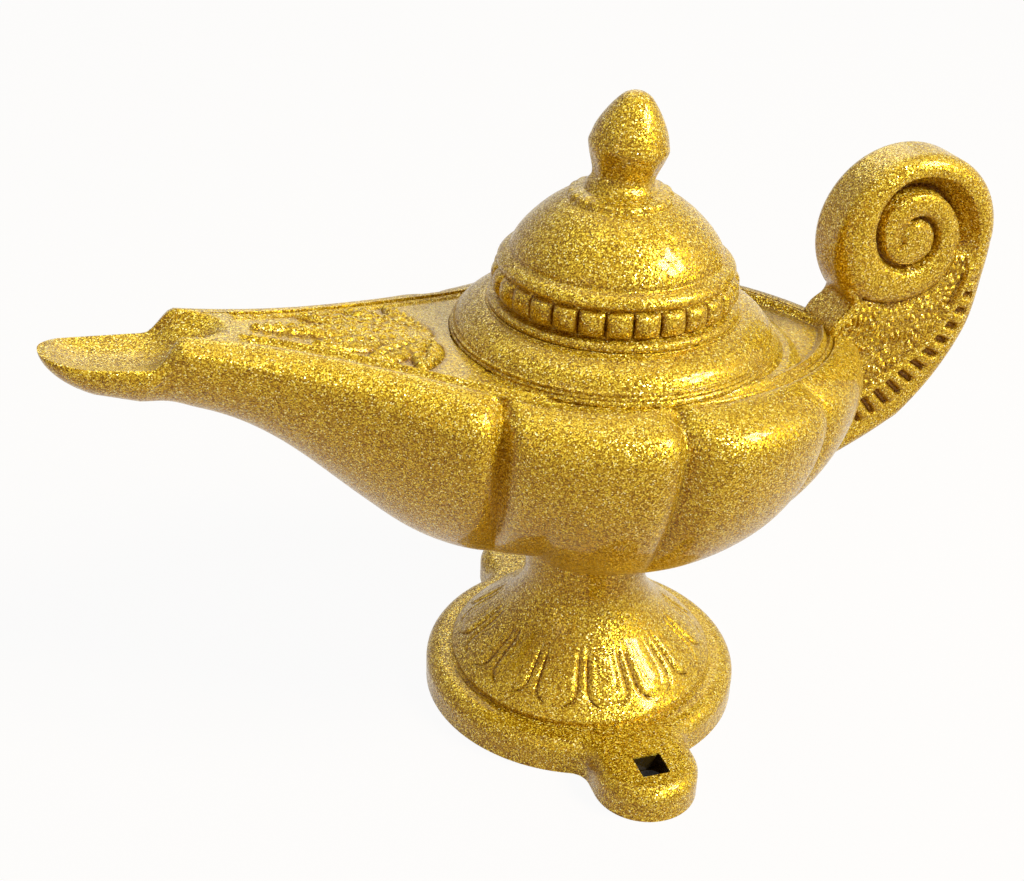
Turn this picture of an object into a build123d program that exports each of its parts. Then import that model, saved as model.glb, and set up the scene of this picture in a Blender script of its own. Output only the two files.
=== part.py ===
"""Genie oil lamp on a bolt-down foot, built as separate pieces.

Millimetres, +Z up.  The spout points along -X, the handle along +X and the two lugs
of the foot along Y.  The foot axis is the Z axis and the foot stands on Z = 0.
"""
import math
import os

from build123d import *

# Foot plate: a thick disc with two bolt lugs
FOOT_R = 32.0
FOOT_T = 7.1
FOOT_EDGE_R = 3.0
LUG_Y = 36.5
LUG_R = 10.0
LUG_FILLET_R = 4.0
BOLT_Y = 38.9
NECK_SQUARE = 5.5
NECK_DEPTH = 3.6
BOLT_HOLE_R = 2.65

# Pedestal: a low petal cone rising into a stem
PEDESTAL_R = 26.7
PEDESTAL_RIM_H = 1.2
STEM_R = 12.2
STEM_NECK_Z = 26.0
PEDESTAL_TOP_R = 13.6
PEDESTAL_TOP_Z = 38.0

# Bowl: rim plan, rim height, underside line and wall
RIM_HALF_W = 33.2
RIM_WIDEST_X = 9.4
RIM_BACK_X = 50.2
SPOUT_END_X = -81.0
SPOUT_HALF_W = 7.1
DECK_Z = 78.8
SPOUT_RISE = 0.186
SPOUT_RISE_FROM_X = -20.5
TAIL_DROP = 0.105
TAIL_DROP_FROM_X = 18.4
KEEL_LOW_Z = 35.3
KEEL_HIGH_Z = 77.9
KEEL_MID_X = -51.5
KEEL_RUN = 10.7
BELLY_LEVEL = 0.83
BELLY_POWER = 1.8
SPOUT_BULGE = 2.6
BOWL_BULGE = 3.9
SPOUT_TAPER = 2.04
STERN_POWER = 1.62
HULL_FRONT_X = -45.0
STEM_RING_R = 12.0
WALL = 3.0
FLOOR_T = 5.0
RIM_LAND = 2.4
LEDGE_W = 2.2
CAVITY_FRONT_X = -60.0
FLUTE_R = 1.5
FLUTE_RIM_X = (-27.0, 2.0, 29.5)

# Lip: dished tongue below the end of the spout
LIP_TIP_X = -100.0
LIP_HALF_W = 8.4
LIP_TOP_Z = 84.6
LIP_DISH = 2.2
LIP_DEPTH = 8.6
LIP_FROM_X = -81.0
LIP_ROOT_X = -74.0
COVE_R = 6.0
COVE_X = -84.6
COVE_Z = 90.3
SCOOP_R = 6.0
SCOOP_FROM_X = -69.0
SCOOP_FALL = 20.0

# Deck plate and the ring that seats the lid
DECK_T = 2.4
DECK_GAP = 0.1
DECK_FRONT_X = -68.0
COLLAR_R = 30.3
COLLAR_SPIGOT_R = 27.0
COLLAR_TOP_R = 23.3
COLLAR_TOP_Z = 85.5
COLLAR_DEPTH = 3.4
COLLAR_EDGE_H = 1.2

# Lid and finial
LID_X = 1.9
LID_GAP = 0.35
LID_SKIRT_R = 20.0
LID_SKIRT_H = 4.8
LID_WALL = 2.0
BEAD_COUNT = 28
BEAD_RING_R = 20.5
BEAD_R = 2.2
BEAD_Z = 89.6
DOME_R = 19.5
DOME_Z = 95.5
LID_TOP_Z = 107.6
FINIAL_NECK_R = 5.7
FINIAL_GIRTH_R = 7.2
FINIAL_H = 16.9
FINIAL_LEAN = 6.5

# Handle: a scroll rolled on a flat stem
HANDLE_T = 14.0
VOLUTE_X = 62.4
VOLUTE_Z = 92.9
VOLUTE_R = 16.2
EYE_X = 60.0
EYE_Z = 94.6
SPIRAL_R = 13.2
SPIRAL_TIGHTEN = 0.16
SPIRAL_TURNS = 1.35
SPIRAL_W = 1.8
SPIRAL_DEPTH = 1.2
DENTIL_COUNT = 8

# Fasteners
TIE_R = 2.5
TIE_HEAD_R = 4.6
TIE_HEAD_H = 3.4
TIE_WASHER_R = 5.5
TIE_WASHER_T = 1.0
SCREW_R = 1.5
SCREW_HEAD_R = 2.8
SCREW_HEAD_H = 2.0
SCREW_WASHER_R = 3.5
SCREW_WASHER_T = 0.5
SCREW_FIT = 0.05
DOWEL_R = 1.5
DOWEL_L = 8.0
DOWEL_FOOT_X = 19.0
DOWEL_BOWL_X = 9.0
HANDLE_SCREW_Z = (60.0, 69.0)
HANDLE_PAD_X = 40.0
HANDLE_SCREW_L = 21.0

# Sizes worked out from the values above
TIE_CLEAR_R = TIE_R + 0.25
SEAT_R = TIE_WASHER_R + 0.6
SEAT_DEPTH = TIE_HEAD_H + TIE_WASHER_T + 0.4
FLOOR_Z = PEDESTAL_TOP_Z + FLOOR_T
COLLAR_BORE_R = LID_SKIRT_R + LID_GAP
LID_SEAT_Z = LID_TOP_Z - 3.6
STEM_ARC = ((55.5, 50.4), (70.8, 65.6), (VOLUTE_X + VOLUTE_R, VOLUTE_Z))
SCREW_CLEAR_R = SCREW_R + 0.15
SCREW_HOLE_R = SCREW_R + SCREW_FIT
HANDLE_PAD_W = 2 * SCREW_WASHER_R + 4.0
HANDLE_PAD_H = HANDLE_SCREW_Z[1] - HANDLE_SCREW_Z[0] + 2 * SCREW_WASHER_R + 2.0


def soft_ramp(u):
    """Zero for u well below 0 and u well above it, with a rounded corner between."""
    return 3.0 * math.log1p(math.exp(u / 3.0))


def sheer(x):
    """Height of the rim and deck: level by the lid, rising to the spout, falling to the handle."""
    rise = SPOUT_RISE * soft_ramp(SPOUT_RISE_FROM_X - x)
    return DECK_Z + rise - TAIL_DROP * soft_ramp(x - TAIL_DROP_FROM_X)


def keel(x):
    """Height of the underside on the centre line: a smooth step from bowl floor to spout."""
    return KEEL_LOW_Z + (KEEL_HIGH_Z - KEEL_LOW_Z) / (1.0 + math.exp((x - KEEL_MID_X) / KEEL_RUN))


def rim_half_width(x):
    """Half width of the rim in plan: a rounded stern and a cosine taper into the spout."""
    if x >= RIM_WIDEST_X:
        u = min((x - RIM_WIDEST_X) / (RIM_BACK_X - RIM_WIDEST_X), 1.0)
        return RIM_HALF_W * (1.0 - u ** STERN_POWER) ** (1 / STERN_POWER)
    u = min((RIM_WIDEST_X - x) / (RIM_WIDEST_X - SPOUT_END_X), 1.0)
    return SPOUT_HALF_W + (RIM_HALF_W - SPOUT_HALF_W) * math.cos(math.pi * u / 2) ** SPOUT_TAPER


def land_point(x):
    """Edge of the deck: the rim moved in by the width of its land, square to the rim."""
    slope = (rim_half_width(x + 0.01) - rim_half_width(x)) / 0.01
    turn = math.hypot(slope, 1.0)
    return x + RIM_LAND * slope / turn, rim_half_width(x) - RIM_LAND / turn


def base_point(x_rim):
    """Foot of the wall line that starts at the rim: on the keel, or on a ring round the stem."""
    if x_rim <= HULL_FRONT_X:
        return x_rim, 0.0
    if x_rim < 0.0:
        x = HULL_FRONT_X * (x_rim / HULL_FRONT_X) ** 1.5
        return x, math.sqrt(max(STEM_RING_R ** 2 - x * x, 0.0))
    a = math.atan2(rim_half_width(x_rim), x_rim)
    return STEM_RING_R * math.cos(a), STEM_RING_R * math.sin(a)


def wall_point(x_rim, z, inset=0.0):
    """Plan position of the wall at height z on the wall line that ends at rim station x_rim."""
    w = rim_half_width(x_rim)
    bx, by = base_point(x_rim)
    dx, dy = x_rim - bx, w - by
    run = math.hypot(dx, dy)
    bulge = SPOUT_BULGE + BOWL_BULGE * (w - SPOUT_HALF_W) / (RIM_HALF_W - SPOUT_HALF_W)
    reach = 1.0 + max(bulge, SPOUT_BULGE) / run
    low, high = keel(bx), sheer(x_rim)
    belly = low + BELLY_LEVEL * (high - low)
    top_sine = math.sqrt(1.0 - 1.0 / reach ** 2)
    if z < belly:
        s = min((belly - z) / (belly - low), 1.0)
        h = reach * (1.0 - s ** BELLY_POWER) ** (1 / BELLY_POWER)
    else:
        s = min((z - belly) / (high - belly), 1.0) * top_sine
        h = reach * math.sqrt(1.0 - s * s)
    if inset:
        h = min(h - inset / run, 1.0 - (RIM_LAND + LEDGE_W) / run)
    return bx + dx * h, by + dy * h


def wall_outline(z, inset=0.0):
    """Points of the level outline of the bowl wall at height z, from the spout round the stern."""
    front = SPOUT_END_X
    if z < keel(SPOUT_END_X):
        front = KEEL_MID_X + KEEL_RUN * math.log((KEEL_HIGH_Z - KEEL_LOW_Z) / (z - KEEL_LOW_Z) - 1.0)
        if front > HULL_FRONT_X:
            front = HULL_FRONT_X * (front / HULL_FRONT_X) ** (2 / 3)
    front += 0.6 + 1.6 * inset
    n = 16
    side = []
    for i in range(n):
        x = front + (RIM_BACK_X - front) * (1 - math.cos(math.pi * i / n)) / 2
        side.append(wall_point(x, z, inset))
    back = wall_point(RIM_BACK_X, z, inset)
    return side + [(back[0], 0.0)] + [(x, -y) for x, y in reversed(side)]


HULL_LEVELS = (PEDESTAL_TOP_Z, 41.0, 45.0, 51.0, 58.0, 65.0, 71.0, 75.5, 79.5, 84.0, 88.0, 92.0)
CAVITY_LEVELS = (FLOOR_Z, 46.0, 52.0, 59.0, 66.0, 72.0, 77.0, 92.0)

LIP_LEVELS = (LIP_TOP_Z - 0.88 * LIP_DEPTH, 79.0, 81.0, 83.0, LIP_TOP_Z)

# Foot plate
with BuildPart() as foot_plate:
    with BuildSketch() as foot_plan:
        Circle(FOOT_R)
        Rectangle(2 * LUG_R, 2 * LUG_Y)
        with Locations((0, LUG_Y), (0, -LUG_Y)):
            Circle(LUG_R)
        fillet([v for v in foot_plan.vertices() if abs(v.Y) < FOOT_R], LUG_FILLET_R)
    extrude(amount=FOOT_T)
    fillet(foot_plate.faces().sort_by(Axis.Z)[-1].outer_wire().edges(), FOOT_EDGE_R)
    with BuildSketch(Plane.XY.offset(FOOT_T)):
        with Locations((0, BOLT_Y), (0, -BOLT_Y)):
            Rectangle(NECK_SQUARE, NECK_SQUARE)
    extrude(amount=-NECK_DEPTH, mode=Mode.SUBTRACT)
    with BuildSketch():
        with Locations((0, BOLT_Y), (0, -BOLT_Y)):
            Circle(BOLT_HOLE_R)
        Circle(TIE_CLEAR_R)
    extrude(amount=FOOT_T, mode=Mode.SUBTRACT)
    with BuildSketch():
        Circle(SEAT_R)
    extrude(amount=SEAT_DEPTH, mode=Mode.SUBTRACT)
    with BuildSketch(Plane.XY.offset(FOOT_T)):
        with Locations((DOWEL_FOOT_X, 0), (-DOWEL_FOOT_X, 0)):
            Circle(DOWEL_R)
    extrude(amount=-DOWEL_L / 2, mode=Mode.SUBTRACT)

# Pedestal
with BuildPart() as pedestal:
    with BuildSketch(Plane.XZ):
        with BuildLine():
            Line((TIE_CLEAR_R, FOOT_T), (PEDESTAL_R, FOOT_T))
            Line((PEDESTAL_R, FOOT_T), (PEDESTAL_R, FOOT_T + PEDESTAL_RIM_H))
            Spline(
                (PEDESTAL_R, FOOT_T + PEDESTAL_RIM_H),
                (22.0, 13.2),
                (15.2, 19.6),
                (STEM_R, STEM_NECK_Z),
                (PEDESTAL_TOP_R, PEDESTAL_TOP_Z),
                tangents=((-0.8, 1), (0.5, 1)),
            )
            Line((PEDESTAL_TOP_R, PEDESTAL_TOP_Z), (TIE_CLEAR_R, PEDESTAL_TOP_Z))
            Line((TIE_CLEAR_R, PEDESTAL_TOP_Z), (TIE_CLEAR_R, FOOT_T))
        make_face()
    revolve(axis=Axis.Z)
    with BuildSketch(Plane.XY.offset(FOOT_T)):
        with Locations((DOWEL_FOOT_X, 0), (-DOWEL_FOOT_X, 0)):
            Circle(DOWEL_R)
    extrude(amount=DOWEL_L / 2, mode=Mode.SUBTRACT)
    with BuildSketch(Plane.XY.offset(PEDESTAL_TOP_Z)):
        with Locations((0, DOWEL_BOWL_X), (0, -DOWEL_BOWL_X)):
            Circle(DOWEL_R)
    extrude(amount=-DOWEL_L / 2, mode=Mode.SUBTRACT)

# Shapes shared by the bowl, the deck and the handle
DECK_LENGTH = RIM_BACK_X - DECK_FRONT_X
RIM_STATIONS = [DECK_FRONT_X + DECK_LENGTH * (1 - math.cos(math.pi * i / 18)) / 2 for i in range(18)]
RIM_SIDE = [land_point(x) for x in RIM_STATIONS]
DECK_BACK_X = RIM_BACK_X - RIM_LAND
SHEER_STATIONS = (66.0, 52.0, 40.0, 30.0, 22.0, 12.0, -8.0, -17.0, -25.0, -34.0, -44.0, -58.0, -74.0, -92.0)
SHEER_LINE = [(x, sheer(x)) for x in SHEER_STATIONS]

with BuildPart() as hull:
    for level in HULL_LEVELS:
        with BuildSketch(Plane.XY.offset(level)):
            with BuildLine():
                outline = Spline(*wall_outline(level))
                Line(outline @ 1, outline @ 0)
            make_face()
    loft()
    with BuildSketch(Plane.XZ):
        with BuildLine():
            crest = Spline(*SHEER_LINE)
            Polyline(crest @ 1, (-92.0, 120.0), (66.0, 120.0), crest @ 0)
        make_face()
    extrude(amount=60.0, both=True, mode=Mode.SUBTRACT)

with BuildPart() as cavity:
    for level in CAVITY_LEVELS:
        with BuildSketch(Plane.XY.offset(level)):
            with BuildLine():
                outline = Spline(*wall_outline(level, WALL))
                Line(outline @ 1, outline @ 0)
            make_face()
    loft()
    with BuildSketch(Plane.YZ.offset(CAVITY_FRONT_X)):
        with Locations((0, DECK_Z)):
            Rectangle(60.0, 60.0)
    extrude(amount=-30.0, mode=Mode.SUBTRACT)
    with BuildSketch(Plane.YZ.offset(HANDLE_PAD_X)):
        with Locations((0, sum(HANDLE_SCREW_Z) / 2)):
            Rectangle(HANDLE_PAD_W, HANDLE_PAD_H)
    extrude(amount=20.0, mode=Mode.SUBTRACT)

with BuildPart() as deck_pocket:
    with BuildSketch(Plane.XY.offset(DECK_Z - 20.0)):
        with BuildLine():
            rim = Spline(*RIM_SIDE, (DECK_BACK_X, 0.0), *[(x, -y) for x, y in reversed(RIM_SIDE)])
            Line(rim @ 1, rim @ 0)
        make_face()
    extrude(amount=60.0)
    with BuildSketch(Plane.XZ):
        with BuildLine():
            crest = Spline(*[(x, z - DECK_T) for x, z in SHEER_LINE])
            Polyline(crest @ 1, (-92.0, 120.0), (66.0, 120.0), crest @ 0)
        make_face()
    extrude(amount=60.0, both=True, mode=Mode.INTERSECT)


def lip_outline(z):
    """Points of the level outline of the lip at height z: rounded tip, rounded underside."""
    depth = (LIP_TOP_Z - z) / LIP_DEPTH
    tip = LIP_FROM_X + (LIP_TIP_X - LIP_FROM_X) * (1.0 - depth ** 1.5) ** (2 / 3)
    side = []
    for i in range(9):
        x = LIP_ROOT_X + (tip - LIP_ROOT_X) * math.sin(math.pi * i / 18)
        u = max((LIP_FROM_X - x) / (LIP_FROM_X - LIP_TIP_X), 0.0)
        drop = depth / (1.0 - u ** 1.5) ** (2 / 3)
        side.append((x, LIP_HALF_W * (1.0 - u ** 2.4) ** (1 / 2.4) * math.sqrt(1.0 - drop ** 2)))
    return side + [(tip, 0.0)] + [(x, -y) for x, y in reversed(side)]


with BuildPart() as lip:
    for level in LIP_LEVELS:
        with BuildSketch(Plane.XY.offset(level)):
            with BuildLine():
                edge = Spline(*lip_outline(level))
                Line(edge @ 1, edge @ 0)
            make_face()
    loft()

DISH_HALF_W = LIP_HALF_W - 1.2
DISH_R = (DISH_HALF_W ** 2 + LIP_DISH ** 2) / (2 * LIP_DISH)
DISH_OPEN = 0.4
DISH_OPEN_HALF_W = math.sqrt(DISH_R ** 2 - (DISH_R - LIP_DISH - DISH_OPEN) ** 2)
DISH_END_X = LIP_TIP_X + LIP_HALF_W + 0.4

with BuildPart() as dish:
    with BuildSketch(Plane.YZ.offset(DISH_END_X)):
        with BuildLine():
            trough = ThreePointArc(
                (-DISH_OPEN_HALF_W, LIP_TOP_Z + DISH_OPEN),
                (0, LIP_TOP_Z - LIP_DISH),
                (DISH_OPEN_HALF_W, LIP_TOP_Z + DISH_OPEN),
            )
            Line(trough @ 1, trough @ 0)
        make_face()
    extrude(amount=SPOUT_END_X + 1.0 - DISH_END_X)
    with BuildSketch(Plane.YZ.offset(DISH_END_X)):
        with BuildLine():
            half = RadiusArc(
                (0, LIP_TOP_Z - LIP_DISH), (DISH_OPEN_HALF_W, LIP_TOP_Z + DISH_OPEN), -DISH_R
            )
            Polyline(half @ 1, (0, LIP_TOP_Z + DISH_OPEN), half @ 0)
        make_face()
    revolve(axis=Axis((DISH_END_X, 0, 0), (0, 0, 1)), revolution_arc=180.0)

SCOOP_PLANE = Plane(
    origin=(SCOOP_FROM_X, 0, sheer(SCOOP_FROM_X) + SCOOP_R),
    z_dir=(-math.cos(math.radians(SCOOP_FALL)), 0, -math.sin(math.radians(SCOOP_FALL))),
)

# Bowl with the spout and the lip
with BuildPart() as bowl:
    add(hull.part)
    add(lip.part)
    add(dish.part, mode=Mode.SUBTRACT)
    with BuildSketch(Plane.XZ):
        with Locations((COVE_X, COVE_Z)):
            Circle(COVE_R)
    extrude(amount=20.0, both=True, mode=Mode.SUBTRACT)
    with BuildSketch(SCOOP_PLANE):
        Circle(SCOOP_R)
    extrude(amount=SCOOP_FROM_X - COVE_X, mode=Mode.SUBTRACT)
    add(cavity.part, mode=Mode.SUBTRACT)
    add(deck_pocket.part, mode=Mode.SUBTRACT)
    with BuildSketch(Plane.YZ.offset(HANDLE_PAD_X)):
        with Locations(*[(0, z) for z in HANDLE_SCREW_Z]):
            Circle(SCREW_CLEAR_R)
    extrude(amount=14.0, mode=Mode.SUBTRACT)
    with BuildSketch(Plane.XY.offset(PEDESTAL_TOP_Z)):
        Circle(TIE_CLEAR_R)
    extrude(amount=FLOOR_T, mode=Mode.SUBTRACT)
    with BuildSketch(Plane.XY.offset(PEDESTAL_TOP_Z)):
        with Locations((0, DOWEL_BOWL_X), (0, -DOWEL_BOWL_X)):
            Circle(DOWEL_R)
    extrude(amount=DOWEL_L / 2, mode=Mode.SUBTRACT)
    for x_rim in FLUTE_RIM_X:
        for side in (1, -1):
            low = keel(base_point(x_rim)[0])
            levels = [low + (sheer(x_rim) + 1.0 - low) * f for f in (0.14, 0.3, 0.5, 0.7, 0.88, 1.0)]
            points = [(*wall_point(x_rim, z), z) for z in levels]
            with BuildLine() as flute_path:
                Spline(*[(x, side * y, z) for x, y, z in points])
            with BuildSketch(Plane(flute_path.line @ 0, z_dir=flute_path.line % 0)):
                Circle(FLUTE_R)
            sweep(path=flute_path.line, mode=Mode.SUBTRACT)

# Deck plate let into the rim of the bowl
with BuildPart() as deck:
    with BuildSketch(Plane.XY.offset(DECK_Z - 20.0)):
        with BuildLine():
            inner = [(x * (1 - DECK_GAP / DECK_BACK_X), y - DECK_GAP) for x, y in RIM_SIDE]
            rim = Spline(*inner, (DECK_BACK_X - DECK_GAP, 0.0), *[(x, -y) for x, y in reversed(inner)])
            Line(rim @ 1, rim @ 0)
        make_face()
    extrude(amount=60.0)
    with BuildSketch(Plane.XZ):
        with BuildLine():
            top = Spline(*SHEER_LINE)
            bottom = Spline(*[(x, z - DECK_T) for x, z in reversed(SHEER_LINE)])
            Line(top @ 1, bottom @ 0)
            Line(bottom @ 1, top @ 0)
        make_face()
    extrude(amount=60.0, both=True, mode=Mode.INTERSECT)
    with BuildSketch(Plane.XY.offset(DECK_Z - 20.0)):
        with Locations((LID_X, 0)):
            Circle(COLLAR_SPIGOT_R + DECK_GAP)
    extrude(amount=40.0, mode=Mode.SUBTRACT)
    with BuildSketch(Plane.XY.offset(DECK_Z)):
        with Locations((LID_X, 0)):
            Circle(COLLAR_R + DECK_GAP)
    extrude(amount=20.0, mode=Mode.SUBTRACT)

LID_PLANE = Plane(origin=(LID_X, 0, 0), x_dir=(1, 0, 0), z_dir=(0, -1, 0))
LID_AXIS = Axis((LID_X, 0, 0), (0, 0, 1))

# Collar: convex ring with a spigot through the deck and a bore for the lid
with BuildPart() as collar:
    with BuildSketch(LID_PLANE):
        with BuildLine():
            Polyline((COLLAR_SPIGOT_R, DECK_Z), (COLLAR_R, DECK_Z), (COLLAR_R, DECK_Z + COLLAR_EDGE_H))
            ThreePointArc(
                (COLLAR_R, DECK_Z + COLLAR_EDGE_H), (28.6, 83.0), (COLLAR_TOP_R, COLLAR_TOP_Z)
            )
            Polyline(
                (COLLAR_TOP_R, COLLAR_TOP_Z),
                (COLLAR_BORE_R, COLLAR_TOP_Z),
                (COLLAR_BORE_R, DECK_Z - COLLAR_DEPTH),
                (COLLAR_SPIGOT_R, DECK_Z - COLLAR_DEPTH),
                (COLLAR_SPIGOT_R, DECK_Z),
            )
        make_face()
    revolve(axis=LID_AXIS)

# Lid: hollow dome over a beaded band, with a skirt that drops into the collar
LID_INNER_R = LID_SKIRT_R - LID_WALL
with BuildPart() as lid:
    with BuildSketch(LID_PLANE):
        with BuildLine():
            Polyline(
                (LID_INNER_R, COLLAR_TOP_Z - LID_SKIRT_H),
                (LID_SKIRT_R, COLLAR_TOP_Z - LID_SKIRT_H),
                (LID_SKIRT_R, COLLAR_TOP_Z),
                (COLLAR_TOP_R, COLLAR_TOP_Z),
            )
            ThreePointArc((COLLAR_TOP_R, COLLAR_TOP_Z), (COLLAR_TOP_R - 0.2, 86.6), (21.6, 87.3))
            Line((21.6, 87.3), (21.3, 91.6))
            ThreePointArc((21.3, 91.6), (21.7, 93.4), (DOME_R + 0.8, 95.0))
            Line((DOME_R + 0.8, 95.0), (DOME_R, DOME_Z))
            dome = Spline(
                (DOME_R, DOME_Z),
                (16.7, 100.0),
                (11.5, 104.5),
                (9.2, 105.8),
                tangents=((-0.2, 1), (-1, 0.5)),
            )
            Polyline(
                dome @ 1,
                (8.8, LID_TOP_Z - 1.0),
                (6.8, LID_TOP_Z),
                (SCREW_CLEAR_R, LID_TOP_Z),
                (SCREW_CLEAR_R, LID_SEAT_Z),
                (SCREW_WASHER_R + 0.6, LID_SEAT_Z),
            )
            Spline(
                (SCREW_WASHER_R + 0.6, LID_SEAT_Z),
                (10.2, 101.2),
                (14.4, 97.4),
                (LID_INNER_R - 0.8, 92.0),
                tangents=((1, -0.15), (0.1, -1)),
            )
            Polyline(
                (LID_INNER_R - 0.8, 92.0),
                (LID_INNER_R, 89.0),
                (LID_INNER_R, COLLAR_TOP_Z - LID_SKIRT_H),
            )
        make_face()
    revolve(axis=LID_AXIS)
    with Locations(Plane((LID_X, 0, BEAD_Z))):
        with PolarLocations(BEAD_RING_R, BEAD_COUNT):
            Sphere(BEAD_R)

# Finial: acorn knob that leans a little toward the handle
LEAN = math.radians(FINIAL_LEAN)
FINIAL_PLANE = Plane(
    origin=(LID_X, 0, LID_TOP_Z), x_dir=(math.cos(LEAN), 0, -math.sin(LEAN)), z_dir=(0, -1, 0)
)
with BuildPart() as finial:
    with BuildSketch(FINIAL_PLANE):
        with BuildLine():
            acorn = Spline(
                (FINIAL_NECK_R + 0.4, -1.0),
                (FINIAL_NECK_R, 1.6),
                (FINIAL_GIRTH_R, 7.4),
                (FINIAL_GIRTH_R - 1.5, 11.4),
                (2.9, FINIAL_H - 1.5),
                (0, FINIAL_H),
                tangents=((-0.2, 1), (-1, 0)),
            )
            Polyline(acorn @ 1, (0, -1.0), acorn @ 0)
        make_face()
    revolve(axis=Axis((LID_X, 0, LID_TOP_Z), (math.sin(LEAN), 0, math.cos(LEAN))))
    split(bisect_by=Plane.XY.offset(LID_TOP_Z), keep=Keep.TOP)
    with BuildSketch(Plane.XY.offset(LID_TOP_Z)):
        with Locations((LID_X, 0)):
            Circle(SCREW_HOLE_R)
    extrude(amount=8.0, mode=Mode.SUBTRACT)


def circle_centre(a, b, c):
    """Centre of the circle through three points."""
    ab, ac = (b[0] - a[0], b[1] - a[1]), (c[0] - a[0], c[1] - a[1])
    d = 2 * (ab[0] * ac[1] - ab[1] * ac[0])
    m, n = ab[0] ** 2 + ab[1] ** 2, ac[0] ** 2 + ac[1] ** 2
    return a[0] + (ac[1] * m - ab[1] * n) / d, a[1] + (ab[0] * n - ac[0] * m) / d


STEM_CENTRE = circle_centre(*STEM_ARC)
STEM_ARC_R = math.dist(STEM_CENTRE, STEM_ARC[0])
DENTIL_PATH_R = STEM_ARC_R - 3.4
DENTIL_ANGLES = [-44.0 + 4.2 * i for i in range(DENTIL_COUNT)]


def spiral(side):
    """One edge of the groove that winds in to the eye: radius falls by a fixed share per turn."""
    points = []
    for i in range(22):
        a = -0.8 + 2 * math.pi * SPIRAL_TURNS * i / 21
        r = SPIRAL_R * math.exp(-SPIRAL_TIGHTEN * (a + 0.8)) + side * SPIRAL_W / 2
        points.append((EYE_X + r * math.cos(a), EYE_Z + r * math.sin(a)))
    return points


# Handle: rolled scroll on a flat stem, with a row of dentils along the stem
with BuildPart() as handle:
    with BuildSketch(Plane.XZ):
        with Locations((VOLUTE_X, VOLUTE_Z)):
            Circle(VOLUTE_R)
        with BuildLine():
            back = ThreePointArc(*STEM_ARC)
            Polyline(
                back @ 1,
                (VOLUTE_X, VOLUTE_Z),
                (50.4, 81.4),
                (46.0, 77.0),
                (42.0, 60.0),
                (46.0, 46.0),
                back @ 0,
            )
        make_face()
    extrude(amount=HANDLE_T / 2, both=True)
    fillet(handle.faces().filter_by(Axis.Y).edges(), 2.0)
    with BuildSketch(Plane.XZ):
        with Locations(*[
            Location(
                (
                    STEM_CENTRE[0] + DENTIL_PATH_R * math.cos(math.radians(a)),
                    STEM_CENTRE[1] + DENTIL_PATH_R * math.sin(math.radians(a)),
                    0,
                ),
                (0, 0, a),
            )
            for a in DENTIL_ANGLES
        ]):
            Rectangle(3.2, 2.2)
    extrude(amount=HANDLE_T / 2 + 0.6, both=True)
    for side in (1, -1):
        with BuildSketch(Plane.XZ.offset(side * HANDLE_T / 2)):
            with BuildLine():
                outer = Spline(*spiral(1))
                inner_edge = Spline(*reversed(spiral(-1)))
                Line(outer @ 1, inner_edge @ 0)
                Line(inner_edge @ 1, outer @ 0)
            make_face()
        extrude(amount=-side * SPIRAL_DEPTH, mode=Mode.SUBTRACT)
    add(hull.part, mode=Mode.SUBTRACT)
    with BuildSketch(Plane.YZ.offset(HANDLE_PAD_X)):
        with Locations(*[(0, z) for z in HANDLE_SCREW_Z]):
            Circle(SCREW_HOLE_R)
    extrude(amount=HANDLE_SCREW_L + 1.0, mode=Mode.SUBTRACT)

# Tie bolt through foot, pedestal and bowl, with its washers and nut
TIE_HEAD_Z = SEAT_DEPTH - TIE_WASHER_T - TIE_HEAD_H
TIE_END_Z = FLOOR_Z + TIE_WASHER_T + 5.5
with BuildPart() as tie_bolt:
    with BuildSketch(Plane.XY.offset(TIE_HEAD_Z)):
        RegularPolygon(TIE_HEAD_R, 6)
    extrude(amount=TIE_HEAD_H)
    with BuildSketch(Plane.XY.offset(TIE_HEAD_Z + TIE_HEAD_H)):
        Circle(TIE_R)
    extrude(amount=TIE_END_Z - TIE_HEAD_Z - TIE_HEAD_H)

with BuildPart() as foot_washer:
    with BuildSketch(Plane.XY.offset(SEAT_DEPTH - TIE_WASHER_T)):
        Circle(TIE_WASHER_R)
        Circle(TIE_CLEAR_R, mode=Mode.SUBTRACT)
    extrude(amount=TIE_WASHER_T)

with BuildPart() as bowl_washer:
    with BuildSketch(Plane.XY.offset(FLOOR_Z)):
        Circle(TIE_WASHER_R)
        Circle(TIE_CLEAR_R, mode=Mode.SUBTRACT)
    extrude(amount=TIE_WASHER_T)

with BuildPart() as bowl_nut:
    with BuildSketch(Plane.XY.offset(FLOOR_Z + TIE_WASHER_T)):
        RegularPolygon(TIE_HEAD_R, 6)
        Circle(TIE_R + SCREW_FIT, mode=Mode.SUBTRACT)
    extrude(amount=4.0)

# Dowels that stop the pedestal and the bowl turning on the tie bolt
with BuildPart() as foot_dowels:
    with BuildSketch(Plane.XY.offset(FOOT_T - DOWEL_L / 2)):
        with Locations((DOWEL_FOOT_X, 0), (-DOWEL_FOOT_X, 0)):
            Circle(DOWEL_R)
    extrude(amount=DOWEL_L)

with BuildPart() as bowl_dowels:
    with BuildSketch(Plane.XY.offset(PEDESTAL_TOP_Z - DOWEL_L / 2)):
        with Locations((0, DOWEL_BOWL_X), (0, -DOWEL_BOWL_X)):
            Circle(DOWEL_R)
    extrude(amount=DOWEL_L)

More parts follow.
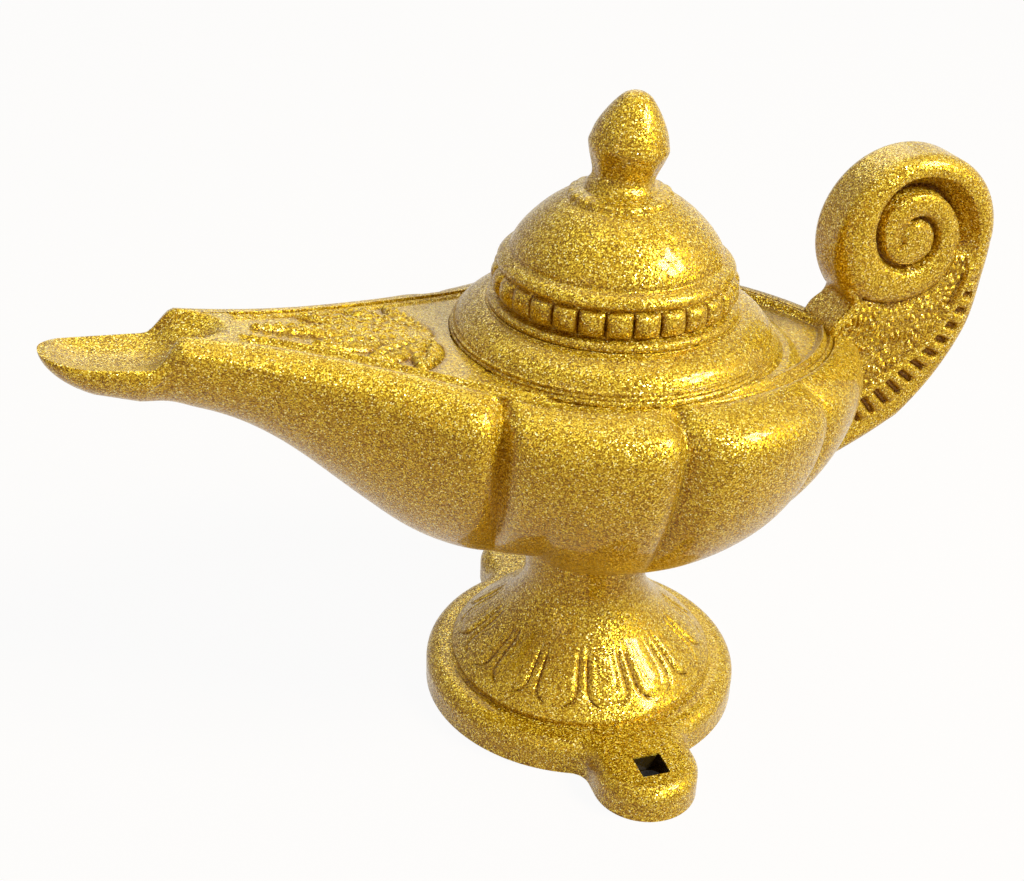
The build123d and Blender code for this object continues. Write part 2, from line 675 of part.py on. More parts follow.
# Screws and washers that hold the handle from inside the bowl
HANDLE_HEAD_X = HANDLE_PAD_X - SCREW_WASHER_T - SCREW_HEAD_H
with BuildPart() as handle_screws:
    with BuildSketch(Plane.YZ.offset(HANDLE_HEAD_X)):
        with Locations(*[(0, z) for z in HANDLE_SCREW_Z]):
            Circle(SCREW_HEAD_R)
    extrude(amount=SCREW_HEAD_H)
    with BuildSketch(Plane.YZ.offset(HANDLE_HEAD_X + SCREW_HEAD_H)):
        with Locations(*[(0, z) for z in HANDLE_SCREW_Z]):
            Circle(SCREW_R)
    extrude(amount=SCREW_WASHER_T + HANDLE_SCREW_L)

with BuildPart() as handle_washers:
    with BuildSketch(Plane.YZ.offset(HANDLE_PAD_X - SCREW_WASHER_T)):
        with Locations(*[(0, z) for z in HANDLE_SCREW_Z]):
            Circle(SCREW_WASHER_R)
        with Locations(*[(0, z) for z in HANDLE_SCREW_Z]):
            Circle(SCREW_CLEAR_R, mode=Mode.SUBTRACT)
    extrude(amount=SCREW_WASHER_T)

# Screw and washer that hold the finial from inside the lid
with BuildPart() as finial_screw:
    with BuildSketch(Plane.XY.offset(LID_SEAT_Z - SCREW_WASHER_T - SCREW_HEAD_H)):
        with Locations((LID_X, 0)):
            Circle(SCREW_HEAD_R)
    extrude(amount=SCREW_HEAD_H)
    with BuildSketch(Plane.XY.offset(LID_SEAT_Z - SCREW_WASHER_T)):
        with Locations((LID_X, 0)):
            Circle(SCREW_R)
    extrude(amount=LID_TOP_Z + 7.0 - LID_SEAT_Z + SCREW_WASHER_T)

with BuildPart() as finial_washer:
    with BuildSketch(Plane.XY.offset(LID_SEAT_Z - SCREW_WASHER_T)):
        with Locations((LID_X, 0)):
            Circle(SCREW_WASHER_R)
            Circle(SCREW_CLEAR_R, mode=Mode.SUBTRACT)
    extrude(amount=SCREW_WASHER_T)

os.makedirs("parts", exist_ok=True)
foot_plate.part.label = "foot_plate"
export_step(foot_plate.part, "parts/foot_plate.step")
pedestal.part.label = "pedestal"
export_step(pedestal.part, "parts/pedestal.step")
bowl.part.label = "bowl"
export_step(bowl.part, "parts/bowl.step")
deck.part.label = "deck"
export_step(deck.part, "parts/deck.step")
collar.part.label = "collar"
export_step(collar.part, "parts/collar.step")
lid.part.label = "lid"
export_step(lid.part, "parts/lid.step")
finial.part.label = "finial"
export_step(finial.part, "parts/finial.step")
handle.part.label = "handle"
export_step(handle.part, "parts/handle.step")
tie_bolt.part.label = "tie_bolt"
export_step(tie_bolt.part, "parts/tie_bolt.step")
foot_washer.part.label = "foot_washer"
export_step(foot_washer.part, "parts/foot_washer.step")
bowl_washer.part.label = "bowl_washer"
export_step(bowl_washer.part, "parts/bowl_washer.step")
bowl_nut.part.label = "bowl_nut"
export_step(bowl_nut.part, "parts/bowl_nut.step")
foot_dowels.part.label = "foot_dowels"
export_step(foot_dowels.part, "parts/foot_dowels.step")
bowl_dowels.part.label = "bowl_dowels"
export_step(bowl_dowels.part, "parts/bowl_dowels.step")
handle_screws.part.label = "handle_screws"
export_step(handle_screws.part, "parts/handle_screws.step")
handle_washers.part.label = "handle_washers"
export_step(handle_washers.part, "parts/handle_washers.step")
finial_screw.part.label = "finial_screw"
export_step(finial_screw.part, "parts/finial_screw.step")
finial_washer.part.label = "finial_washer"
export_step(finial_washer.part, "parts/finial_washer.step")
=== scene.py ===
# %% [markdown]
# # A genie oil lamp in gold glitter
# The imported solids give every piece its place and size. Each visible casting is then
# remade as a smooth surface worked out with numpy, so that its ornament can be modelled,
# and the new surface stands for the solid it covers. The castings are worked out in
# millimetres; the floor, the lamps and the camera are given in metres.

import bmesh
import bpy
import numpy as np
from mathutils import Matrix, Vector


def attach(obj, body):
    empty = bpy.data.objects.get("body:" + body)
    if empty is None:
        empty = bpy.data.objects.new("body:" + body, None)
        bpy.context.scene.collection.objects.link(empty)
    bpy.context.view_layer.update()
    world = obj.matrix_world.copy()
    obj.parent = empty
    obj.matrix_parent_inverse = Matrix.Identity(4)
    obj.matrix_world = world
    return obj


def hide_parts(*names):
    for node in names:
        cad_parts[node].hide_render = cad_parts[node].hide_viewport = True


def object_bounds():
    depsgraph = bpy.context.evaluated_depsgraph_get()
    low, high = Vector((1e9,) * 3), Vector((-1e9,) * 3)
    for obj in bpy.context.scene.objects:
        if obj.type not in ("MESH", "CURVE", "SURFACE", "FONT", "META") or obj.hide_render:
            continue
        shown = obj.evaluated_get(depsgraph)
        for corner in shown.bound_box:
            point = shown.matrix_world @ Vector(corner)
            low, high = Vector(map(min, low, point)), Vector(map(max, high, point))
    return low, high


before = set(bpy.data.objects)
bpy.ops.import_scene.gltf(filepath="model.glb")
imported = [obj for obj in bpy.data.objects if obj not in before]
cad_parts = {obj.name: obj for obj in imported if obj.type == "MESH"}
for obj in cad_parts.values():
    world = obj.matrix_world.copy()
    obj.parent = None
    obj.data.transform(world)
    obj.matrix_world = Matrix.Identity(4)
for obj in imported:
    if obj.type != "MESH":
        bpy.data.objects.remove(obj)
cad_low, cad_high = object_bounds()
cad_mm = [round(1000 * (b - a), 1) for a, b in zip(cad_low, cad_high)]
print("solids:", len(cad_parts), "box mm:", cad_mm)

# %% [markdown]
# ## Turning grids of points into pieces
# A surface here is a grid: rows of points, each point a function of two parameters.
# Neighbouring points make four-sided faces, and every grid closes on itself across its
# columns. Where rows meet, or shrink to one point at a pole, the points that fall together
# are merged, so the piece is a closed skin, and the faces are turned to point outwards.

# %% Grid helpers
MM = 0.001
RECESS_STEPS, RECESS_CELL, RECESS_MOST = 16, 0.15, 0.5
MERGE, SLIVER, SHARP_ANGLE = 0.004 * MM, 0.002 * MM, np.radians(50)


def grid_faces(rows, cols):
    """Four neighbours make a face, and the last column is joined to the first."""
    index = np.arange(rows * cols).reshape(rows, cols)
    index = np.hstack([index, index[:, :1]])
    corners = [index[:-1, :-1], index[:-1, 1:], index[1:, 1:], index[1:, :-1]]
    return np.stack(corners, -1).reshape(-1, 4)


def recess_of(grid):
    """How far each point lies below the mean of its neighbourhood; wide cells count for less."""
    mean = grid.copy()
    for _ in range(RECESS_STEPS):
        before, after = np.vstack([mean[:1], mean[:-1]]), np.vstack([mean[1:], mean[-1:]])
        mean = (np.roll(mean, 1, 1) + np.roll(mean, -1, 1) + before + after) / 4
    normal = np.cross(np.gradient(grid, axis=0), np.gradient(grid, axis=1))
    size = np.maximum(np.linalg.norm(normal, axis=-1), 1e-6)
    outward = np.sign(np.sum((grid - grid.mean((0, 1))) * normal))
    depth = outward * np.sum((mean - grid) * normal, axis=-1) / size
    return np.clip(depth * np.minimum(1, RECESS_CELL / size), -RECESS_MOST, RECESS_MOST)


def make_piece(name, grid, node, body, finish, painted_recess_shade=True):
    """One object from a grid in millimetres, in place of a solid; it carries recess depths that set painted
    shade, or zeros without it.
    """
    mesh = bpy.data.meshes.new(name)
    mesh.from_pydata(grid.reshape(-1, 3) * MM, [], grid_faces(*grid.shape[:2]).tolist())
    # Recess depths set where the finish paints shade; the flag gives zeros where no shade is painted.
    depth = painted_recess_shade * recess_of(grid).ravel()
    mesh.attributes.new("recess", "FLOAT", "POINT").data.foreach_set("value", depth)
    work = bmesh.new()
    work.from_mesh(mesh)
    bmesh.ops.remove_doubles(work, verts=work.verts, dist=MERGE)
    bmesh.ops.dissolve_degenerate(work, edges=work.edges, dist=SLIVER)
    bmesh.ops.recalc_face_normals(work, faces=work.faces)
    open_edges = sum(1 for e in work.edges if e.is_boundary)
    work.to_mesh(mesh)
    work.free()
    mesh.shade_smooth()
    mesh.set_sharp_from_angle(angle=SHARP_ANGLE)
    piece = bpy.data.objects.new(name, mesh)
    bpy.context.scene.collection.objects.link(piece)
    piece.data.materials.append(finish)
    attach(piece, body)
    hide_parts(node)
    print(name, "faces:", len(mesh.polygons), "open edges:", open_edges)


def smooth_line(points, count):
    """A curve through every point that leaves each one along the line between its neighbours."""
    p = np.asarray(points, float)
    q = np.vstack([2 * p[0] - p[1], p, 2 * p[-1] - p[-2]])
    t = np.linspace(0, len(p) - 1, count)
    i = np.minimum(t.astype(int), len(p) - 2)
    u = (t - i)[:, None]
    a, b, c, d = q[i], q[i + 1], q[i + 2], q[i + 3]
    square, cube = 2 * a - 5 * b + 4 * c - d, 3 * b - a - 3 * c + d
    return 0.5 * (2 * b + (c - a) * u + square * u ** 2 + cube * u ** 3)


def turned(profile, columns):
    """Radius and height of a profile and the angle of each column, which combine into a grid."""
    angle = np.linspace(0, 2 * np.pi, columns, endpoint=False)[None, :]
    return profile[:, :1], profile[:, 1:], angle


def round_axis(radius, height, angle, axis_x=0.0):
    """Points at a radius and angle about an upright axis through (axis_x, 0)."""
    height = height + 0 * angle
    return np.stack([axis_x + radius * np.cos(angle), radius * np.sin(angle), height], -1)


# %% [markdown]
# ## The finish: gold glitter under clear lacquer
# The castings are painted with gold glitter. Up close it is a crowd of flat flakes about
# a fifth of a millimetre across, each lying at its own small tilt, under a thin clear coat.
# A Voronoi texture gives the flakes: every cell has one random colour value, which sets the
# flake's shade, how metallic it is and the tip of its normal, so flakes glint one by one
# while the coat on top keeps its own highlight. Shade is painted into recesses: each new
# surface carries a recess depth per point, which the finish reads to darken its colour there.
# On the bowl that depth is left at zero, so the bowl has no painted shade.

# %% Material helpers
def from_hex(code):
    """An sRGB hex colour as the linear values that shaders use."""
    srgb = np.array([int(code[i:i + 2], 16) for i in (1, 3, 5)]) / 255
    linear = np.where(srgb <= 0.04045, srgb / 12.92, ((srgb + 0.055) / 1.055) ** 2.4)
    return (*linear.tolist(), 1.0)


def add_node(tree, kind, settings=None, values=None, links=None):
    """Adds a node, sets its properties and inputs, and links (socket -> other node's output)."""
    node = tree.nodes.new(kind)
    for key, value in (settings or {}).items():
        setattr(node, key, value)
    for key, value in (values or {}).items():
        node.inputs[key].default_value = value
    for key, source in (links or {}).items():
        tree.links.new(source, node.inputs[key])
    return node


def add_ramp(tree, source, shades):
    """A colour ramp through (place, hex colour) stops, listed from low to high."""
    node = add_node(tree, "ShaderNodeValToRGB", links={"Fac": source})
    stops = node.color_ramp.elements
    stops[0].position, stops[1].position = shades[0][0], shades[-1][0]
    for position, _ in shades[1:-1]:
        stops.new(position)
    for stop, (_, code) in zip(stops, shades):
        stop.color = from_hex(code)
    return node.outputs["Color"]


def new_material(name):
    """An empty node material: its tree, its Principled shader and a linked output."""
    material = bpy.data.materials.new(name)
    material.use_nodes = True
    tree = material.node_tree
    tree.nodes.clear()
    shader = add_node(tree, "ShaderNodeBsdfPrincipled")
    add_node(tree, "ShaderNodeOutputMaterial", links={"Surface": shader.outputs["BSDF"]})
    return material, tree, shader


# %% Gold glitter lacquer
FLAKE = 0.2 * MM
TILT = 0.5
FLAKE_SHADES = ((0.0, "#7a5406"), (0.35, "#aa800e"), (0.7, "#d0aa26"), (0.93, "#f0d44c"), (1.0, "#fff2b0"))
# Painted shade colours: the first is multiplied into recesses, the second laid inside the lug holes.
RECESS_PAINTED_SHADE, HOLE_PAINTED_SHADE = "#b8a070", "#3a2c0c"
LACQUER = {
    "Roughness": 0.3, "Specular IOR Level": 0.05,
    "Coat Weight": 0.36, "Coat Roughness": 0.07, "Coat IOR": 1.4,
}
CAST_GRAIN = 3.0 * MM
LUG_Y, LUG_TOP_Z, SEAT_HALF = 38.9 * MM, 6.7 * MM, 2.85 * MM


def hole_shade_share(tree, place):
    """1 inside the two square lug holes, below the top of the lugs, where shade is painted, and 0 elsewhere.
    """
    spot = add_node(tree, "ShaderNodeSeparateXYZ", links={"Vector": place})
    side = add_node(tree, "ShaderNodeMath", {"operation": "ABSOLUTE"}, None, {0: spot.outputs["Y"]})
    near_x = add_node(tree, "ShaderNodeMath", {"operation": "COMPARE"}, {1: 0.0, 2: SEAT_HALF},
                      {0: spot.outputs["X"]})
    near_y = add_node(tree, "ShaderNodeMath", {"operation": "COMPARE"}, {1: LUG_Y, 2: SEAT_HALF},
                      {0: side.outputs["Value"]})
    below = add_node(tree, "ShaderNodeMath", {"operation": "LESS_THAN"}, {1: LUG_TOP_Z},
                     {0: spot.outputs["Z"]})
    hole = add_node(tree, "ShaderNodeMath", {"operation": "MULTIPLY"}, None,
                    {0: near_x.outputs["Value"], 1: near_y.outputs["Value"]})
    in_hole = add_node(tree, "ShaderNodeMath", {"operation": "MULTIPLY"}, None,
                    {0: hole.outputs["Value"], 1: below.outputs["Value"]})
    return in_hole.outputs["Value"]


def flake_normal(tree, chance, normal):
    """The skin's normal plus a share of each flake's random colour, taken as a direction."""
    centred = add_node(tree, "ShaderNodeVectorMath", {"operation": "SUBTRACT"},
                       {1: (0.5, 0.5, 0.5)}, {0: chance})
    tilt = add_node(tree, "ShaderNodeVectorMath", {"operation": "SCALE"}, {"Scale": TILT},
                    {0: centred.outputs["Vector"]})
    tipped = add_node(tree, "ShaderNodeVectorMath", {"operation": "ADD"}, None,
                      {0: normal, 1: tilt.outputs["Vector"]})
    facet = add_node(tree, "ShaderNodeVectorMath", {"operation": "NORMALIZE"}, None,
                     {0: tipped.outputs["Vector"]})
    return facet.outputs["Vector"]


def gold_glitter(name, painted_shade_holes=False):
    """Random cells give flake shade, gloss and tilt; shade is painted into recesses; a noise gives the cast
    skin; lug holes can get painted shade.
    """
    material, tree, shader = new_material(name)
    place = add_node(tree, "ShaderNodeTexCoord")
    flakes = add_node(tree, "ShaderNodeTexVoronoi", {"feature": "F1"}, {"Scale": 1 / FLAKE},
                      {"Vector": place.outputs["Object"]})
    split = add_node(tree, "ShaderNodeSeparateColor", links={"Color": flakes.outputs["Color"]})
    shade = add_ramp(tree, split.outputs["Red"], FLAKE_SHADES)
    # Painted shade: deeper recesses multiply the flake colour toward a darker shade.
    low = add_node(tree, "ShaderNodeAttribute", {"attribute_name": "recess"})
    painted_recess_shade = add_node(tree, "ShaderNodeMapRange", None, {"From Min": 0.02, "From Max": 0.35},
                    {"Value": low.outputs["Fac"]})
    recess_darkened = add_node(tree, "ShaderNodeMix", {"data_type": "RGBA", "blend_type": "MULTIPLY"},
                      {7: from_hex(RECESS_PAINTED_SHADE)}, {0: painted_recess_shade.outputs["Result"], 6: shade})
    colour = recess_darkened.outputs[2]
    cast = add_node(tree, "ShaderNodeTexNoise", None,
                    {"Scale": 1 / CAST_GRAIN, "Detail": 3.0, "Roughness": 0.6},
                    {"Vector": place.outputs["Object"]})
    skin = add_node(tree, "ShaderNodeBump", None, {"Strength": 0.3, "Distance": 0.12 * MM},
                    {"Height": cast.outputs["Fac"]})
    facet = flake_normal(tree, flakes.outputs["Color"], skin.outputs["Normal"])
    gleam = add_node(tree, "ShaderNodeMapRange", None,
                     {"From Min": 0.45, "From Max": 0.7, "To Min": 0.05, "To Max": 1.0},
                     {"Value": split.outputs["Green"]})
    gloss = gleam.outputs["Result"]
    # Painted shade in the lug holes: a dark brown colour, and the metal gloss taken away.
    if painted_shade_holes:
        in_hole = hole_shade_share(tree, place.outputs["Object"])
        mixed = add_node(tree, "ShaderNodeMix", {"data_type": "RGBA"}, {7: from_hex(HOLE_PAINTED_SHADE)},
                         {0: in_hole, 6: colour})
        colour = mixed.outputs[2]
        plain = add_node(tree, "ShaderNodeMath", {"operation": "SUBTRACT", "use_clamp": True}, None,
                         {0: gloss, 1: in_hole})
        gloss = plain.outputs["Value"]
    tree.links.new(colour, shader.inputs["Base Color"])
    tree.links.new(gloss, shader.inputs["Metallic"])
    tree.links.new(facet, shader.inputs["Normal"])
    tree.links.new(skin.outputs["Normal"], shader.inputs["Coat Normal"])
    for key, value in LACQUER.items():
        shader.inputs[key].default_value = value
    return material


gold = gold_glitter("gold_glitter_lacquer")
# The foot's finish also paints shade inside its two square lug holes.
gold_foot = gold_glitter("gold_glitter_lacquer_bare_holes", painted_shade_holes=True)
print("finish:", gold.name, "flake mm:", FLAKE / MM)

# %% [markdown]
# ## Bright zinc fasteners
# Bolts, screws, dowels and washers are zinc-plated steel: a grey metal with a fine grain
# and a faint cloudy variation. They show little: from below, or with the lid off.

# %% Zinc-plated steel
ZINC_CLOUD, ZINC_GRAIN = 2.5 * MM, 0.3 * MM


def zinc_steel():
    """Grey metal with a cloudy colour, and a fine noise as the grain of the plating."""
    material, tree, shader = new_material("zinc_plated_steel")
    place = add_node(tree, "ShaderNodeTexCoord")
    cloud = add_node(tree, "ShaderNodeTexNoise", None, {"Scale": 1 / ZINC_CLOUD, "Detail": 2.0},
                     {"Vector": place.outputs["Object"]})
    shade = add_ramp(tree, cloud.outputs["Fac"], ((0.0, "#9a9ea2"), (1.0, "#d4d6d8")))
    grain = add_node(tree, "ShaderNodeTexNoise", None, {"Scale": 1 / ZINC_GRAIN, "Detail": 1.0},
                     {"Vector": place.outputs["Object"]})
    bump = add_node(tree, "ShaderNodeBump", None, {"Strength": 0.2, "Distance": 0.03 * MM},
                    {"Height": grain.outputs["Fac"]})
    tree.links.new(shade, shader.inputs["Base Color"])
    tree.links.new(bump.outputs["Normal"], shader.inputs["Normal"])
    shader.inputs["Metallic"].default_value = 1.0
    shader.inputs["Roughness"].default_value = 0.32
    return material


zinc = zinc_steel()
GOLD_NODES = {"foot_plate", "pedestal", "bowl", "deck", "collar", "lid", "finial", "handle"}
for node_name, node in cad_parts.items():
    node.data.materials.clear()
    finish = gold_foot if node_name == "foot_plate" else gold
    node.data.materials.append(finish if node_name in GOLD_NODES else zinc)
print("finish:", zinc.name)

# %% [markdown]
# ## The lid
# The lid is a turned shape: a skirt that drops into the collar, a flange, a row of beads,
# a roll, a plain dome and a small crown of petals. A profile is carried round the axis, and
# beads and petals are added as a radius that swells and falls with the angle, so one grid
# holds the whole lid.

# %% Lid with its row of beads
LID_X = 1.9
BEADS = 28
LID_OUTSIDE = [
    (18.0, 80.7), (19.6, 80.7), (20.0, 81.1), (20.0, 85.2), (20.4, 85.5), (22.9, 85.5), (23.3, 85.9),
    (23.2, 86.6), (22.7, 87.0), (22.0, 87.2), (21.5, 87.45), (21.4, 87.9), (21.4, 89.6), (21.35, 91.2),
    (21.2, 91.8), (21.0, 92.15), (21.25, 92.5), (21.7, 93.0), (21.7, 93.6), (21.2, 94.3), (20.5, 94.8),
    (19.9, 95.05), (19.5, 95.3), (19.4, 95.7), (19.3, 96.3), (18.5, 97.8), (16.75, 100.0), (14.2, 102.5),
    (11.7, 104.4), (10.3, 105.15), (9.7, 105.4), (9.5, 105.9), (9.0, 106.5), (7.9, 106.9), (6.8, 107.2),
    (6.2, 107.5), (4.0, 107.6), (0.0, 107.6),
]
LID_INSIDE = [
    (0.0, 104.0), (4.1, 104.0), (10.2, 101.2), (14.4, 97.4), (17.2, 92.0), (18.0, 89.0), (18.0, 80.7),
]
BEAD_Z, BEAD_HALF_H, BEAD_SWELL, BAND_R = 89.9, 2.35, 1.35, 20.5
CROWN_R, CROWN_Z, CROWN_PETALS = 8.6, 105.0, 18


def bead_swell(angle, height):
    """A rounded block: full in the middle of its pitch and of the band, nothing at its edges."""
    across = np.abs(2 * ((angle * BEADS / (2 * np.pi)) % 1.0 - 0.5)) / 0.98
    up = np.abs(height - BEAD_Z) / BEAD_HALF_H
    block = np.clip(1 - across ** 2.4, 0, 1) * np.clip(1 - up ** 2.6, 0, 1)
    return BEAD_SWELL * np.sqrt(block)


def lid_grid():
    """The lid's profile carried round, its radius swelling with the beads and the crown's petals."""
    outside = smooth_line(LID_OUTSIDE, 190)
    profile = np.vstack([outside, smooth_line(LID_INSIDE, 40)])
    radius, height, angle = turned(profile, BEADS * 14)
    is_outside = (np.arange(len(profile)) < len(outside))[:, None]
    crown = np.clip(1 - np.abs(radius - CROWN_R) / 1.5, 0, 1) * (height > CROWN_Z)
    petals = 0.45 * crown * np.abs(np.cos(CROWN_PETALS / 2 * angle))
    radius = radius + is_outside * (bead_swell(angle, height) * (radius > BAND_R) + petals)
    return round_axis(radius, height, angle, LID_X)


make_piece("lid_casting", lid_grid(), "lid", "lid", gold)

# %% [markdown]
# ## The finial
# The knob is an acorn on a leaning axis: a flared foot sunk a little into the lid, a cone
# with shallow flats, a rounded girth and a pointed top. It is turned first and leaned after.

# %% Leaning acorn finial
FINIAL_Z = 107.6
LEAN = np.radians(6.5)
ACORN = [
    (0.0, -1.8), (6.6, -1.8), (6.6, -0.9), (6.3, 0.1), (5.75, 1.1), (5.7, 2.0), (6.1, 3.4),
    (6.65, 4.9), (7.05, 6.2), (7.2, 6.8), (7.25, 7.4), (6.95, 8.5), (6.55, 9.9), (5.85, 11.4),
    (4.85, 13.1), (3.7, 14.7), (2.4, 16.1), (1.1, 16.75), (0.0, 16.9),
]


def finial_grid():
    """The acorn profile carried round, pressed into flats below the girth, then leaned about Y."""
    profile = smooth_line(ACORN, 120)
    radius, height, angle = turned(profile, 160)
    below = np.clip((6.6 - height) / 2.0, 0, 1) * np.clip(height / 1.5, 0, 1)
    radius = radius - 0.3 * below * np.cos(4 * angle) ** 2
    p = round_axis(radius, height, angle)
    lean = np.array([[np.cos(LEAN), 0, np.sin(LEAN)], [0, 1, 0], [-np.sin(LEAN), 0, np.cos(LEAN)]])
    return p @ lean.T + np.array([LID_X, 0, FINIAL_Z])


make_piece("finial_casting", finial_grid(), "finial", "lid", gold)

# %% [markdown]
# ## The collar
# A broad convex ring seats the lid. It has a thin groove round the lid's flange and a fine
# bead where it meets the deck.

# %% Collar ring
COLLAR = [
    (20.35, 75.4), (20.35, 85.2), (20.6, 85.45), (23.2, 85.5), (23.55, 85.25), (23.9, 85.3), (25.2, 84.85),
    (26.8, 84.05), (28.2, 83.05), (29.1, 82.0), (29.4, 81.45), (29.55, 81.25), (29.85, 81.1), (29.9, 80.75),
    (29.85, 80.5), (30.1, 80.35), (30.2, 80.05), (30.15, 79.8), (30.4, 79.5), (30.5, 79.1), (30.4, 78.7),
    (30.0, 78.45), (27.4, 78.45), (27.0, 78.1), (27.0, 75.4), (20.35, 75.4),
]


def collar_grid():
    """The collar's closed profile carried round the lid axis."""
    radius, height, angle = turned(smooth_line(COLLAR, 150), 256)
    return round_axis(radius + 0 * angle, height, angle, LID_X)


make_piece("collar_casting", collar_grid(), "collar", "lamp", gold)

# %% [markdown]
# ## The shape of the bowl
# The bowl is a boat: seen from above its rim is a rounded stern that tapers into a spout,
# seen from the side the rim rises toward the spout and the underside sweeps up to meet it.
# Each wall line starts low, on the keel or on a ring round the stem, and swells out before
# it turns in to the rim. The same few formulas give the place of every point of the casting.

# %% Lines that shape the bowl
RIM_W, WIDEST_X, BACK_X = 33.2, 9.4, 50.2
SPOUT_W, SPOUT_X = 7.1, -81.0
LAND, LEDGE, DECK_T = 2.4, 2.2, 2.4
DECK_FRONT_X, CAVITY_FRONT_X = -68.0, -60.0
GROOVES, GROOVE_DEPTHS, GROOVE_W = (-27.0, 2.0, 29.5), (3.2, 3.2, 1.4), 2.1
STERN_POWER, SPOUT_POWER, WALL_POWER = 1.62, 2.04, 0.9
SHEER_Z, SHEER_RISE, SHEER_RISE_X, SHEER_FALL, SHEER_FALL_X, SHEER_SOFT = 78.8, 0.186, -20.5, 0.105, 18.4, 3.0
KEEL_LOW_Z, KEEL_RISE, KEEL_MID_X, KEEL_SPREAD = 35.3, 42.6, -51.5, 10.7
BASE_R, BASE_END_X, STEM_TOP_Z = 12.0, -45.0, 38.0
BELLY_AT, SWELL_SPOUT, SWELL_BOWL = 0.83, 2.6, 3.9
WALL_T, CAVITY_FLOOR_Z = 3.0, 43.0
PAD_X, PAD_HALF_W, PAD_Z, PAD_HALF_H = 40.0, 5.5, 64.5, 9.0
SCOOP_X, SCOOP_SLOPE, SCOOP_R = -69.0, 0.364, 6.0
LIP_ROOT_X, LIP_LENGTH, LIP_HALF_W, LIP_Z, LIP_UPTURN = -81.0, 19.0, 8.4, 84.6, 2.3
LIP_UNDER_Z, LIP_FLAT, LIP_POWER, LIP_DEEP_POWER = 76.0, 0.86, 2.4, 1.65
DISH_X, DISH_R, DISH_DEPTH = -91.2, 7.2, 1.5
HULL_FRONT_X = -84.6


def smooth_step(u):
    """0 below 0, 1 above 1, and a smooth rise between."""
    u = np.clip(u, 0, 1)
    return u * u * (3 - 2 * u)


def soft_ramp(u):
    """0 well below 0 and u well above it, with a rounded corner between."""
    return SHEER_SOFT * np.log1p(np.exp(u / SHEER_SOFT))


def sheer(x):
    """Height of the rim: level by the lid, rising to the spout, falling to the handle."""
    rise, fall = SHEER_RISE * soft_ramp(SHEER_RISE_X - x), SHEER_FALL * soft_ramp(x - SHEER_FALL_X)
    return SHEER_Z + rise - fall


def keel(x):
    """Height of the underside on the centre line: a smooth step from bowl floor to spout."""
    return KEEL_LOW_Z + KEEL_RISE / (1.0 + np.exp((x - KEEL_MID_X) / KEEL_SPREAD))


def rim_half_width(x):
    """A superellipse behind the widest station and a power of a cosine before it."""
    behind = np.clip((x - WIDEST_X) / (BACK_X - WIDEST_X), 0, 1)
    before = np.clip((WIDEST_X - x) / (WIDEST_X - SPOUT_X), 0, 1)
    stern = RIM_W * (1 - behind ** STERN_POWER) ** (1 / STERN_POWER)
    spout = SPOUT_W + (RIM_W - SPOUT_W) * np.abs(np.cos(np.pi * before / 2)) ** SPOUT_POWER
    return np.where(x >= WIDEST_X, stern, spout)


def rim_stations(front_x, step, fine):
    """Stations along the rim from front_x to the stern, spaced by step, and by fine at the grooves."""
    turn = np.sin(np.linspace(0, np.pi / 2, 4000)) ** (2 / STERN_POWER)
    ahead, behind = np.linspace(front_x, WIDEST_X, 8000)[:-1], WIDEST_X + (BACK_X - WIDEST_X) * turn
    x = np.concatenate([ahead, behind])
    w = rim_half_width(x)
    w[-1] = 0.0
    arc = np.concatenate([[0], np.cumsum(np.hypot(np.diff(x), np.diff(w)))])
    marks = np.interp(GROOVES, x, arc)
    near = np.exp(-((arc[:, None] - marks) / 3.5) ** 2).max(1)
    count = np.cumsum(np.gradient(arc) / (step - (step - fine) * near))
    pick = np.linspace(count[0], count[-1], int(count[-1]))
    tangent = np.stack([np.gradient(x, arc), np.gradient(w, arc)], -1)
    tangent /= np.linalg.norm(tangent, axis=1)[:, None]
    columns = [x, w, tangent[:, 1], -tangent[:, 0], arc]
    return [np.interp(pick, count, c) for c in columns], marks


(probe_x, probe_w, _, _, probe_arc), _ = rim_stations(SPOUT_X, 1.0, 0.4)
print("rim: length mm", round(probe_arc[-1], 1), "widest mm", round(2 * probe_w.max(), 1))
print("rim: stations", len(probe_x))

# %% [markdown]
# ## The bowl casting
# Lobes are pressed into the wall: a sharp groove at three places on each side with a soft
# swell between them. At the top the wall rolls over a rounded shoulder to a flat land, and
# inside the land is the pocket for the deck plate, then the hollow for oil. In front, the
# section of the spout blends into the section of the tongue-shaped lip, and a scoop leads
# from the deck down into its dish. One half is made and mirrored, so both sides are alike.

# %% Lobes and the top of the spout
def lobe_push(arc, marks):
    """Outward push of the wall, by distance along the rim: cusped grooves and swells between."""
    gap = np.abs(arc[:, None] - marks)
    groove = -(np.array(GROOVE_DEPTHS) * np.exp(-(gap / GROOVE_W) ** 1.25)).max(1)
    bounds = np.concatenate([marks, arc[-1:] + 12.0])
    swell = 0.75 * np.exp(-((marks[0] - arc - 5.0) / 4.5) ** 2) * (arc < marks[0])
    for a, b in zip(bounds[:-1], bounds[1:]):
        q = np.clip((arc - a) / (b - a), 0, 1)
        swell = swell + 0.9 * (1 - np.abs(2 * q - 1) ** 2.2)
    return groove + swell


